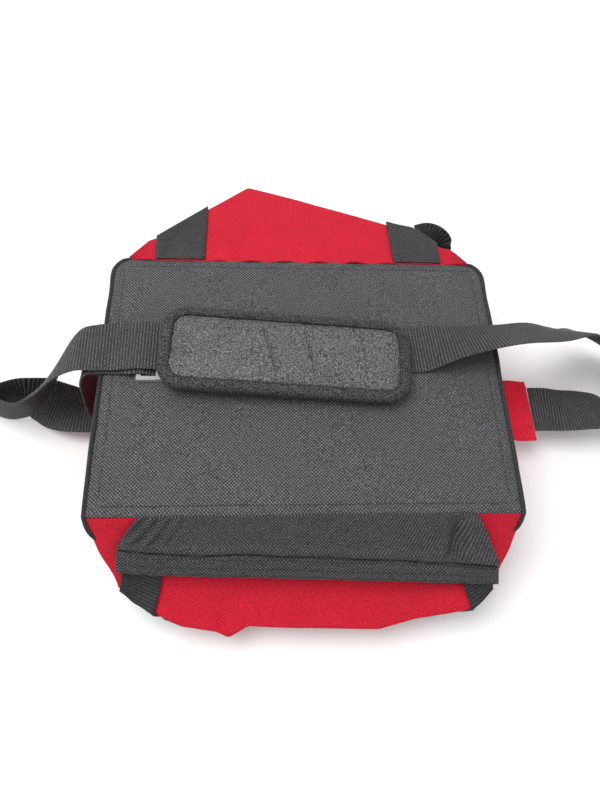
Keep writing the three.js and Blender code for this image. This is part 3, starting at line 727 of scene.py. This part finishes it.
def make_piping(side, crease_x, name):
    x = 144.4
    route = [
        (126.0, 101.7, 73.4), (131.5, 101.5, 73.9), (136.7, 100.0, 74.2), (139.4, 98.0, 74.4),
        (142.3, 94.2, 74.5), (x, 86.5, 74.6), (x, 60, 74.6), (x, -70, 74.6), (x, -97, 74.2),
        (x - 0.4, -102, 72.0), (x - 2.0, -107, 66.5), (x - 5.5, -110.5, 59.5), (crease_x + 5.0, -113, 49)]
    line = spline(route, 400)
    s = lengths(line)
    points = sample(line, s, np.linspace(0, s[-1], 300))
    points[:, 0] += 0.35 * waves(points[:, 1], 0, 40, 41)
    points[:, 2] += 0.3 * waves(points[:, 1], 0, 33, 42)
    points[:, 0] *= side
    finish(tube(name + "_cord", points, 1.6, swell=0.05, pitch=3.0), "piping", replace=[name])


make_piping(-1, -FRONT_LEFT_X, "left_piping")
make_piping(1, FRONT_RIGHT_X, "right_piping")


# ---- front pocket: one cloth from the seam over the fold to its hem ----
POCKET_SEAM = np.array([(x, -101.2, 75.1) for x in (-110, -104, -5, 96, 112)], float)
POCKET_FOLD = np.array([
    (-124, -116, 62), (-104, -119, 59), (-5, -122, 57.5), (96, -127, 57), (128, -130, 56)], float)
POCKET_HEM = np.array([
    (-125.5, -131, 51), (-101, -133, 47.5), (-5, -136.5, 45.5), (96, -141, 46), (129.5, -142.5, 46.5)], float)


def make_pocket():
    columns = 240
    grid = []
    for u in np.linspace(0, 1, columns):
        seam, fold, hem = (edge_at(edge, edge[0, 0] + (edge[-1, 0] - edge[0, 0]) * u)
                           for edge in (POCKET_SEAM, POCKET_FOLD, POCKET_HEM))
        fold = fold + np.array([0, -0.4, 0.6])
        section = np.array([seam, seam + (fold - seam) * 0.3, seam + (fold - seam) * 0.7, fold,
                            fold + (hem - fold) * 0.4, hem])
        section[1:3, 2] -= 0.8
        grid.append(chaikin(section, 3))
    grid = np.array(grid)
    m, n = grid.shape[:2]
    u = np.linspace(0, 1, m)[:, None]
    v = np.linspace(0, 1, n)[None, :]
    x = u * 240
    flat = 0.5 * waves(x, v * 40, 60, 51) * np.sin(math.pi * v)
    upper = smoothstep(0.02, 0.12, v) * smoothstep(0.60, 0.46, v)
    pucker = 1.9 * np.sin(x * 2 * math.pi / 9.5 + 9 * v) * smoothstep(0.17, 0.06, u) * upper
    pucker = np.maximum(pucker, -0.5) - 0.3 * bump(u + 0.01 * v, 0.058, 0.008) * upper
    across = u - 0.968 + 0.15 * v
    tuck = 4.2 * smoothstep(-0.002, 0.03, across) * smoothstep(0.06, 0.2, v) * smoothstep(0.66, 0.52, v)
    dip = -4.6 * bump(across, -0.012, 0.011) * smoothstep(0.05, 0.3, v) * smoothstep(0.66, 0.52, v)
    ease = 0.35 * waves(x, v * 20, 11, 52) * smoothstep(0.6, 0.85, v)
    drift = v + 0.02 * waves(x, 0 * v, 50, 53)
    turned = 1.8 * bump(drift, 0.55, 0.05) - 3.0 * bump(drift, 0.66, 0.035)
    sign = np.sign(grid_normals(grid)[m // 2, n // 4, 2])
    grid = push(grid, sign * (flat + pucker + tuck + dip + ease + turned))
    panel = sheet("pocket_cloth", grid, FABRIC)
    # painted shade: the pocket gets the darker copy of the black fabric
    finish(panel, "pocket_painted_shade_fabric", replace=["pocket_panel", "pocket_hem"])
    lines = [line_on(grid, 0.015, 0.985, place_v, 240, sign) for place_v in (0.72, 0.83, 0.93)]
    finish(stitches("pocket_hem_stitching", lines), "thread")


make_pocket()


# ---- top panels and zipper, on the floor ----
ZIP_Z = 9.4


def make_top(side, name):
    profile = chaikin([(98.2, 0.8), (70, 0.8), (40, 0.8), (28, 3.4), (18, ZIP_Z - 1), (13.4, ZIP_Z)], 3)
    columns = 120
    grid = np.array([[(x, side * y, z) for y, z in profile] for x in np.linspace(-122, 122, columns)])
    z = grid[..., 2]
    grid[..., 2] = z + 0.5 * (1 + waves(grid[..., 0], grid[..., 1], 40, 61 + side)) * smoothstep(0.8, 3, z)
    cloth(name, grid, "black_fabric")
    below = -np.sign(grid_normals(grid)[columns // 2, len(profile) - 4, 2])
    line = line_on(grid, 0.02, 0.98, 0.955, 200, below)
    finish(stitches(name + "_stitching", [line]), "thread_light")


make_top(1, "top_back_panel")
make_top(-1, "top_front_panel")


def make_zipper():
    section = [(math.cos(a), math.sin(a)) for a in np.linspace(0, 2 * math.pi, 8, endpoint=False)]
    for word, side in (("back", 1), ("front", -1)):
        x, y = np.meshgrid(np.linspace(-118, 118, 160), np.linspace(3.1, 12.8, 8) * side, indexing="ij")
        cloth("zipper_tape_" + word, np.dstack([x, y, np.full_like(x, ZIP_Z)]), "zipper_tape", 0.8)
        count = 150
        points, faces = [], []
        for k in range(count):
            cx = -117 + 234 * (k + 0.5) / count
            start = len(points)
            for y0, r in ((0.95, 0.55), (1.2, 0.95), (2.4, 0.95), (2.68, 0.6)):
                for c, s in section:
                    points.append((cx + c * 0.52 * r, side * y0, ZIP_Z + s * 1.05 * r))
            for i in range(3):
                for j in range(8):
                    a, b = start + 8 * i + j, start + 8 * i + (j + 1) % 8
                    faces.append((a, b, b + 8, a + 8))
            faces.append(tuple(range(start + 7, start - 1, -1)))
            faces.append(tuple(range(start + 24, start + 32)))
        coil = make_mesh("zipper_coil_" + word + "_turns", np.array(points), faces)
        finish(coil, "zipper_coil", replace=["zipper_coil_" + word])


make_zipper()


# ---- rigid pieces keep their CAD shape, with eased edges ----
def ease(name, material, width):
    obj = nodes[name]
    bevel = obj.modifiers.new("ease", "BEVEL")
    bevel.width = width / MM
    bevel.segments = 3
    bevel.limit_method = "ANGLE"
    bevel.angle_limit = math.radians(40)
    bevel.harden_normals = False
    coat(obj, material)


for name, material, width in (
        ("zipper_stop_left", "zipper_metal", 0.5), ("zipper_stop_right", "zipper_metal", 0.5),
        ("zipper_slider", "zipper_metal", 0.25), ("zipper_pull", "zipper_metal", 0.3),
        # painted glint: the adjuster's grey colour stands in for reflected light on black plastic
        ("strap_ring", "black_plastic", 0.8), ("strap_adjuster", "grey_plastic", 0.7),
        ("pad_foam", "foam", 0.5)):
    ease(name, material, width)


# ---- end tabs: doubled strips of the shell's cloth, stitched down ----
def strip(node, profile, y0, y1, thickness, rumple=0.0):
    """A cloth strip whose side view is a profile of (x, z) points; rumple is the height of its creases."""
    line = chaikin(profile, 3)
    s = lengths(line)
    line = sample(line, s, np.linspace(0, s[-1], 160))
    grid = np.array([[(x, y, z) for y in np.linspace(y0, y1, 60)] for x, z in line])
    x, y = grid[..., 0], grid[..., 1]
    free = smoothstep(0, 8, np.abs(x) - 137)
    grid[..., 2] += rumple * free * (waves(x + 0.5 * y, 0.4 * y, 15, 101) + 0.6 * waves(x, y, 8, 102))
    # painted light: the tab gets the brighter copy of the red cloth
    cloth(node, grid, "red_tab_painted_light_fabric", thickness, slot="red_fabric")


def tab_stitching(name, places_x, y, z):
    lines = [flat_line(x, y, z) for x in places_x]
    finish(stitches(name, lines), "thread_red")


strip("right_tab", [
    (134.8, 24.3), (150, 24.3), (170, 24.4), (185, 24.5), (187.1, 24.75), (187.4, 25.0), (187.1, 25.3),
    (185, 25.6), (170, 25.7), (150, 25.7), (134.8, 25.7)], -31, 21, 0.7, rumple=0.9)
tab_stitching("right_tab_stitching", (180.0, 183.6), np.linspace(-27, 17, 60), 26.05)

RING_X, RING_Z, RING_Y = -147.5, 21.0, -1.0
TURN_RADIUS = 3.1
turn = [(RING_X + TURN_RADIUS * math.cos(a), RING_Z + TURN_RADIUS * math.sin(a))
        for a in np.linspace(0.5, 2 * math.pi - 0.5, 14)]
strip("left_tab", [
    (-134.8, 21.65), (-139, 21.65), (-143, 21.8), *turn, (-143, 20.2), (-139, 20.35), (-134.8, 20.35)],
    RING_Y - 17, RING_Y + 17, 0.9)
tab_stitching("left_tab_stitching", (-141.6, -139.6), np.linspace(RING_Y - 14.5, RING_Y + 14.5, 40), 22.15)

# ---- shoulder strap: two lengths of one webbing that meet in the ring ----
STRAP_Y, GLIDE_X = 18, -103
EDGE, FLAT = (0, 0, -1), (0, 1, 0)


def tilted(degrees):
    """A direction across the webbing that lies between FLAT (0 degrees) and EDGE (90)."""
    return (0, math.cos(math.radians(degrees)), -math.sin(math.radians(degrees)))

STRAP_MAIN = [
    (188.3, -4, 25, *FLAT), (200, -4, 25, *FLAT), (214, -5, 25.5, *tilted(6)), (232, -4.5, 25, *tilted(12)),
    (252, -4.5, 23, *tilted(24)), (268, -6, 21.5, *tilted(72)), (284, 3, 21, *EDGE), (290, 16, 21.5, *EDGE),
    (284, 30, 24, 0, 0.4, -0.9), (270, 42, 30, 0.14, 0.75, -0.65), (254, 48, 38, -0.12, 0.81, -0.58),
    (238, 50, 48, -0.3, 0.7, -0.62), (220, 48, 60, *tilted(56)), (184, 36, 80, *tilted(40)),
    (150, 28, 89.5, *tilted(38)), (118, 24.5, 86.5, *tilted(27)), (103, 23, 83, *tilted(15)),
    (90, 22, 78.4, *tilted(1)), (76, 21, 77.3, *FLAT), (50, 18.5, 78, *FLAT), (25, STRAP_Y, 79.2, *FLAT),
    (-10, STRAP_Y, 80.1, *FLAT), (-45, STRAP_Y, 80.8, *FLAT), (-75, STRAP_Y, 80.7, *FLAT),
    (GLIDE_X + 14, STRAP_Y, 80.55, *FLAT), (GLIDE_X + 10, STRAP_Y, 79.7, *FLAT),
    (GLIDE_X + 4, STRAP_Y, 77.4, *FLAT), (GLIDE_X, STRAP_Y, 77.2, *FLAT), (GLIDE_X - 4, STRAP_Y, 77.4, *FLAT),
    (GLIDE_X - 10, STRAP_Y, 79.7, *FLAT), (GLIDE_X - 14, STRAP_Y, 80.55, *FLAT),
    (GLIDE_X - 20, STRAP_Y, 79.6, *FLAT), (-134, 19, 77.6, *FLAT), (-148, 19, 77.3, *FLAT),
    (-155.5, 17.5, 74.2, *FLAT), (-159, 14, 66, *FLAT), (-159, 9, 54, *FLAT), (-158, 4, 42, *FLAT),
    (-155.8, 0, 31, *FLAT), (-153.8, RING_Y, 25, *FLAT), (-153.2, RING_Y, 21.8, *FLAT)]
RETURN_Y = STRAP_Y + 2.6
STRAP_RETURN = [
    (-153.2, RING_Y, 21.3, 0, 1, 0), (-153.6, RING_Y, 18.4, 0, 1, 0), (-156.5, RING_Y, 16.4, 0, 1, 0),
    (-164, RING_Y, 16.2, 0, 1, 0), (-178, -0.5, 16, 0, 1, 0), (-192, 3, 15.6, 0, 0.95, 0.3),
    (-204, 7.5, 16.6, 0, 0.75, 0.65), (-216, 10.5, 19.6, 0, 0.35, 0.95), (-229, 11.5, 20, 0, 0, 1),
    (-241, 10.5, 20, 0, 0, 1), (-246, 5.5, 20, 0, 0, 1), (-241, 0.5, 20, 0, 0, 1), (-229, -2, 20.5, 0, 0, 1),
    (-212, -1, 26, 0, -0.17, 0.98), (-195, 7, 42, 0, -0.55, 0.83), (-178, 15, 64, 0, -0.87, 0.48),
    (-162, 19, 77.6, 0, -0.98, 0.18), (-148, 20, 80.2, 0, -1, 0.04), (-134, 20.4, 80.6, 0, -1, 0),
    (GLIDE_X - 20, RETURN_Y, 82.4, 0, -1, 0), (GLIDE_X - 14, RETURN_Y, 83.2, 0, -1, 0),
    (GLIDE_X - 6, RETURN_Y, 82.4, 0, -1, 0), (GLIDE_X + 2, RETURN_Y, 82, 0, -1, 0)]


def make_strap(name, stations, node):
    frames = strap_frames(stations)
    obj = ribbon(name, frames, thickness=1.35)
    finish(obj, "webbing", replace=[node])
    middle, keep = place(frames[0]), 9
    path = middle[::keep]
    if len(middle) % keep != 1:
        path = np.vstack([path, middle[-1]])


make_strap("shoulder_strap_webbing", STRAP_MAIN, "strap_main")
make_strap("strap_return_webbing", STRAP_RETURN, "strap_return")

# ---- handles ----
LEG_LIFT = FABRIC / 2 + 0.4 + 0.8
LEG_COLUMNS = 14


def back_strip(x0, x1):
    """The back panel's section under a leg, at 0 to 1 across its webbing."""
    return lambda k: back_section(x0 + (x1 - x0) * k)


def front_strip(x0, x1, seam0, seam1):
    """The front panel's section under a leg, at 0 to 1 across its webbing."""
    return lambda k: front_section(x0 + (x1 - x0) * k, seam0 + (seam1 - seam0) * k)


STRIPS = {
    "back_handle": (back_strip(-114.5, -76.5), back_strip(75.0, 113.0)),
    "front_handle": (front_strip(-124.5, -102.5, -118.0, -92.0), front_strip(113.5, 127.5, 95.0, 120.0))}


def leg(name, section_at, lift, first_row):
    """Webbing that lies on a side panel from the base seam to the crease."""
    grid = np.array([section_at(k)[first_row:6] for k in np.linspace(0, 1, LEG_COLUMNS)])
    grid = grid + grid_normals(grid) * lift
    middle = chaikin(np.mean(grid, axis=0), 3)
    places = np.linspace(0, 1, int(lengths(middle)[-1] / STRAP_STEP))
    rows = []
    for section in grid:
        fine = chaikin(section, 3)
        s = lengths(fine)
        rows.append(sample(fine, s / s[-1], places))
    webbing = ribbed_sheet(name + "_webbing", np.array(rows), 1.35)
    # painted shade: the legs use the darker copy of the webbing colour
    finish(webbing, "handle_webbing_painted_shade", replace=[name])


for handle, lift, first_row in (("back_handle", LEG_LIFT, 0), ("front_handle", -LEG_LIFT - 0.4, 1)):
    for word, section_at in zip(("left", "right"), STRIPS[handle]):
        leg(handle + "_leg_" + word, section_at, lift, first_row)

LOOPS = {"back_handle": [
    (-102, 148, 42, 0.6, 0.72, -0.1), (-101, 153, 29, 0.5, 0.8, 0.1), (-95, 161, 17, 0.2, 0.9, 0.3),
    (-82, 172, 8, 0, 1, 0.2), (-62, 180, 2.6, 0, 1, 0), (-30, 183, 1, 0, 1, 0), (0, 183, 1, 0, 1, 0),
    (35, 181, 1, 0, 1, 0), (62, 174, 2.8, 0, 1, 0), (86, 161, 9.5, 0.1, 0.9, 0.3),
    (104, 148, 17.5, 0.2, 0.6, 0.75), (118, 140, 21, 0, 0.1, 1), (129, 141, 21.5, 0, 0, 1),
    (133.5, 149, 23, 0, 0, 1), (127, 155, 28, -0.1, -0.1, 0.95), (116, 152, 36, -0.3, 0.15, 0.85),
    (108, 145, 41.5, -0.5, 0.25, 0.6)], "front_handle": [
    (-111.5, -145.6, 18.6, 0.88, -0.48, 0), (-109, -143, 13.5, 0.85, -0.5, 0.1),
    (-98, -141.5, 7.5, 0.5, -0.85, 0.15), (-84, -142, 3.2, 0.15, -1, 0), (-64, -141, 1.2, 0, -1, 0),
    (-32, -141, 1, 0, -1, 0), (0, -140, 1, 0, -1, 0), (36, -141, 1, 0, -1, 0), (69, -141, 1.2, 0, -1, 0),
    (90, -140, 3.4, -0.15, -1, 0), (105, -141, 8, -0.5, -0.85, 0.15), (115, -144.5, 14, -0.8, -0.55, 0.1),
    (117, -147.2, 18.2, -0.88, -0.48, 0)]}
for handle, stations in LOOPS.items():
    loop = ribbon(handle + "_webbing", strap_frames(stations), thickness=1.2, rib=0.2)
    finish(loop, "handle_webbing_painted_shade", body=handle, replace=[handle + "_loop"])


def crease_fold(handle, word, leg_line, loop_line, out):
    """Webbing that wraps a crease, from the leg's end line to the loop's first line."""
    (a, b), (c, d) = leg_line, loop_line
    grid = []
    for k in np.linspace(0, 1, LEG_COLUMNS):
        p, q = a + (b - a) * k, c + (d - c) * k
        r = (p + q) / 2 + np.array(out, float)
        grid.append([(1 - t) ** 2 * p + 2 * t * (1 - t) * r + t * t * q for t in np.linspace(0, 1, 30)])
    obj = ribbed_sheet(handle + "_fold_" + word, np.array(grid), 1.3)
    coat(obj, "handle_webbing_painted_shade")
    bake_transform(obj)


def loop_end(stations, index):
    """The two ends of the line across a handle loop's webbing at a station."""
    s = np.array(stations[index], float)
    w = s[3:] / np.linalg.norm(s[3:]) * WEBBING_WIDTH / 2
    return s[:3] - w, s[:3] + w


def leg_end(section_at, lift):
    """The two ends of the leg's last line at the crease, raised off the cloth."""
    return [section_at(k)[5] + np.array(lift, float) for k in (0, 1)]


for handle, lift, out_left, out_right in (
        ("back_handle", (0, 0.6, 1.6), (0, 4, 1), (0, 2, 0)),
        ("front_handle", (0, -1.2, 1.2), (0, -1.5, 0), (0, -1.5, 0))):
    left, right = STRIPS[handle]
    crease_fold(handle, "left", leg_end(left, lift), loop_end(LOOPS[handle], 0), out_left)
    crease_fold(handle, "right", leg_end(right, lift), loop_end(LOOPS[handle], -1)[::-1], out_right)


# ---- shoulder pad, in its own tilted frame ----
PAD_MATRIX = np.array(Matrix.Translation((-13.5, 12, 82.1)) @ Matrix.Rotation(math.radians(-3.6), 4, "Z")
                      @ Matrix.Rotation(math.radians(1.28), 4, "Y"))


def pad_place(points):
    return np.asarray(points, float) @ PAD_MATRIX[:3, :3].T + PAD_MATRIX[:3, 3]


PAD_X, PAD_Y, PAD_R, BORDER = 89.5, 33.0, 19.0, 7.0
# Each crease of the pad's face: its x at the back edge, its x at the front edge, and its depth.
CREASES = ((-17.0, -5.7, 1.5), (12.8, 21.3, 1.4), (54.0, 58.2, 0.9))


def pad_relief(x, y):
    """Crown, sewn edge and embossed creases of the pad's face."""
    inner_x, inner_y = PAD_X - BORDER, PAD_Y - BORDER
    edge = np.minimum(inner_x - np.abs(x), inner_y - np.abs(y))
    z = 1.9 * (1 - np.exp(-np.maximum(edge, 0) / 5.0)) - 0.5
    z = z + 0.25 * waves(x, y, 30, 71) * smoothstep(0, 8, edge)
    for back_x, front_x, depth in CREASES:
        t = np.clip((18 - y) / 36, 0, 1)
        line = back_x + (front_x - back_x) * t
        fade = smoothstep(20, 15, np.abs(y))
        z = z - depth * fade * (bump(x - line, 0, 1.1) - 0.3 * bump(x - line, 2.6, 1.8))
    return z


def simulate(obj, pressure, cap):
    """Swells a closed cloth form and keeps each point's travel under a cap, in metres."""
    frames = 20
    rest = np.array([v.co for v in obj.data.vertices])
    cloth = obj.modifiers.new("cloth", "CLOTH")
    s = cloth.settings
    s.use_pressure = True
    s.uniform_pressure_force = pressure
    s.quality = 5
    s.tension_stiffness = 20
    s.compression_stiffness = 20
    s.effector_weights.gravity = 0
    cloth.point_cache.frame_start = 1
    cloth.point_cache.frame_end = frames
    for f in range(1, frames + 1):
        scene.frame_set(f)
    evaluated = obj.evaluated_get(bpy.context.evaluated_depsgraph_get())
    moved = np.array([v.co for v in evaluated.data.vertices])
    obj.modifiers.remove(cloth)
    scene.frame_set(1)
    step = moved - rest
    far = np.linalg.norm(step, axis=1, keepdims=True)
    step = step * np.minimum(1, cap / np.maximum(far, 1e-9))
    return rest + step


def make_pad():
    x, y = rounded_grid(PAD_X - BORDER + 1, PAD_Y - BORDER + 1, PAD_R - BORDER + 1, 330, 105)
    swell = cushion_swell(x, y)
    low = np.dstack([x, y, np.full_like(x, 6.4)])
    top = np.dstack([x, y, 7.3 + pad_relief(x, y) + swell])
    m, n = x.shape
    a, faces = grid_faces(m, n)
    rim = [a[i, j] for i, j in grid_rim(m, n)]
    for p, q in zip(rim, rim[1:] + rim[:1]):
        faces.append((p, m * n + p, m * n + q, q))
    points = pad_place(np.vstack([top.reshape(-1, 3), low.reshape(-1, 3)]))
    uv = np.dstack([x, y]).reshape(-1, 2)
    face = make_mesh("pad_face_leatherette", points, faces, np.vstack([uv, uv]))
    finish(face, "pad_leatherette", body="pad", replace=["pad_face"])


def cushion_swell(x, y):
    """Height that a cloth simulation of the padded form gains, sampled over its face."""
    box = bmesh.new()
    bmesh.ops.create_cube(box, size=1)
    mesh = bpy.data.meshes.new("cushion_form")
    box.to_mesh(mesh)
    box.free()
    form = bpy.data.objects.new("cushion_form", mesh)
    scene.collection.objects.link(form)
    size = ((PAD_X - BORDER) * 2, (PAD_Y - BORDER) * 2, 7.0)
    mesh.transform(Matrix.Diagonal((*(s / MM for s in size), 1)))
    remesh = form.modifiers.new("remesh", "REMESH")
    remesh.mode = "VOXEL"
    remesh.voxel_size = 0.004
    fine = form.evaluated_get(bpy.context.evaluated_depsgraph_get())
    grown = bpy.data.meshes.new_from_object(fine)
    form.modifiers.clear()
    form.data = grown
    bpy.context.view_layer.objects.active = form
    moved = simulate(form, 4.0, 0.005)
    rest = np.array([v.co for v in form.data.vertices])
    upper = rest[:, 2] > 0.001
    samples, gain = rest[upper][:, :2] * MM, (moved - rest)[upper][:, 2] * MM
    bpy.data.objects.remove(form)
    gain = gain - np.median(gain)
    out = np.zeros(x.shape)
    weight = np.zeros(x.shape)
    for (sx, sy), g in zip(samples, gain):
        w = np.exp(-((x - sx) ** 2 + (y - sy) ** 2) / 60.0)
        out += w * g
        weight += w
    return np.clip(out / np.maximum(weight, 1e-6), -0.8, 0.9) * 0.7


def rounded_loop(half_x, half_y, radius, step):
    """Evenly spaced points round a rectangle with rounded corners, and their places along it."""
    points = []
    for cx, cy, a0 in ((1, 1, 0), (-1, 1, 90), (-1, -1, 180), (1, -1, 270)):
        for a in np.radians(np.linspace(a0, a0 + 90, 24)):
            points.append((cx * (half_x - radius) + radius * math.cos(a),
                           cy * (half_y - radius) + radius * math.sin(a)))
    p = np.array(points + [points[0]])
    s = lengths(p)
    t = np.linspace(0, s[-1], int(s[-1] / step), endpoint=False)
    return sample(p, s, t), t


def make_binding():
    """A tape folded round the pad's edge: its section is swept round the outline."""
    outer, t = rounded_loop(PAD_X, PAD_Y, PAD_R, 1.1)
    tangent = unit(np.roll(outer, -1, 0) - np.roll(outer, 1, 0))
    inward = np.column_stack([-tangent[:, 1], tangent[:, 0]])
    section = np.array([
        (8.6, 7.7), (8.3, 8.35), (7.6, 8.75), (6.4, 8.55), (4.8, 8.35), (3.0, 8.2), (1.4, 7.5), (0.4, 6.1),
        (0.05, 4.2), (0.4, 2.2), (1.4, 0.7), (3.2, 0.05), (7.0, 0.0), (7.0, 0.9), (7.0, 7.0)])
    top = smoothstep(6, 8, section[:, 1])
    ripple = 0.16 * waves(t, 0, 12, 81) + 0.12 * waves(t, 0, 5, 82)
    rings = []
    for k in range(len(outer)):
        at = outer[k] + np.outer(section[:, 0], inward[k])
        rings.append(np.column_stack([at, section[:, 1] + ripple[k] * top]))
    rings = np.array(rings)
    m, n = rings.shape[:2]
    a = np.arange(m * n).reshape(m, n)
    b, c = np.roll(a, -1, 0), np.roll(a, -1, 1)
    faces = np.stack([a, b, np.roll(b, -1, 1), c], -1).reshape(-1, 4)
    uv = uv_map(t, lengths(section)).reshape(-1, 2)
    tape = make_mesh("pad_binding_tape", pad_place(rings.reshape(-1, 3)), faces, uv)
    finish(tape, "pad_binding", body="pad", replace=["pad_binding"])
    seam = BORDER + 0.1
    inner = rounded_loop(PAD_X - seam, PAD_Y - seam, PAD_R - seam, 1.0)[0]
    line = pad_place(np.column_stack([inner, np.full(len(inner), 8.78)]))
    line = np.vstack([line, line[:1]])
    thread = stitches("pad_stitching", [(line, np.tile(PAD_MATRIX[:3, 2], (len(line), 1)))], pitch=2.6)
    finish(thread, "thread", body="pad")


def make_pad_back():
    x, y = rounded_grid(PAD_X - BORDER - 0.4, PAD_Y - BORDER - 0.4, PAD_R - BORDER, 90, 40)
    grid = pad_place(np.dstack([x, y, 0.5 + 0.12 * waves(x, y, 22, 91)]))
    cloth("pad_back", grid, "pad_backing", 0.9, np.dstack([x, y]), "pad")
    section = chaikin([(-23.9, -0.5), (-23.9, -3.4), (-23, -3.8), (0, -3.85), (23, -3.8), (23.9, -3.4),
                       (23.9, -0.5)], 3)
    grid = pad_place([[(x, 6 + y, z) for y, z in section] for x in np.linspace(-34, 36, 60)])
    cloth("pad_sleeve", grid, "pad_backing", 0.75, body="pad")


make_pad()
make_binding()
make_pad_back()


# ---- floor, light and close ----
FLOOR_REACH, FLOOR_GAP = 6.0, 0.0005
SKY_STRENGTH = 0.68


def add_stage():
    """A white floor, a white sky and three soft lamps, in metres."""
    data = bpy.data.meshes.new("floor")
    r = FLOOR_REACH
    z = float(cad_low[2]) - FLOOR_GAP
    data.from_pydata([(-r, -r, z), (r, -r, z), (r, r, z), (-r, r, z)], [], [(0, 1, 2, 3)])
    floor = bpy.data.objects.new("floor", data)
    scene.collection.objects.link(floor)
    m = Nodes("floor_white", (0.93, 0.93, 0.93), 0.9)
    m.paint(m.span(m.noise(3, 2), 0.995, 1.005))
    data.materials.append(m.material)
    world = bpy.data.worlds.new("studio")
    world.use_nodes = True
    sky = world.node_tree.nodes["Background"].inputs
    sky["Color"].default_value = (1, 1, 1, 1)
    sky["Strength"].default_value = SKY_STRENGTH
    scene.world = world
    for name, place_at, size, power in (
            ("key", (-0.5, 0.1, 1.3), 0.8, 13.5), ("fill", (0.8, -0.6, 1.2), 1.2, 2.6),
            ("back", (0.1, 1.1, 0.9), 1.2, 1.5)):
        lamp = bpy.data.lights.new(name, "AREA")
        lamp.size = size
        lamp.energy = power
        light = bpy.data.objects.new(name, lamp)
        light.location = place_at
        light.rotation_euler = (Vector((0, 0, 0.05)) - Vector(place_at)).to_track_quat("-Z", "Y").to_euler()
        scene.collection.objects.link(light)


add_stage()
scene.view_settings.view_transform = "Standard"
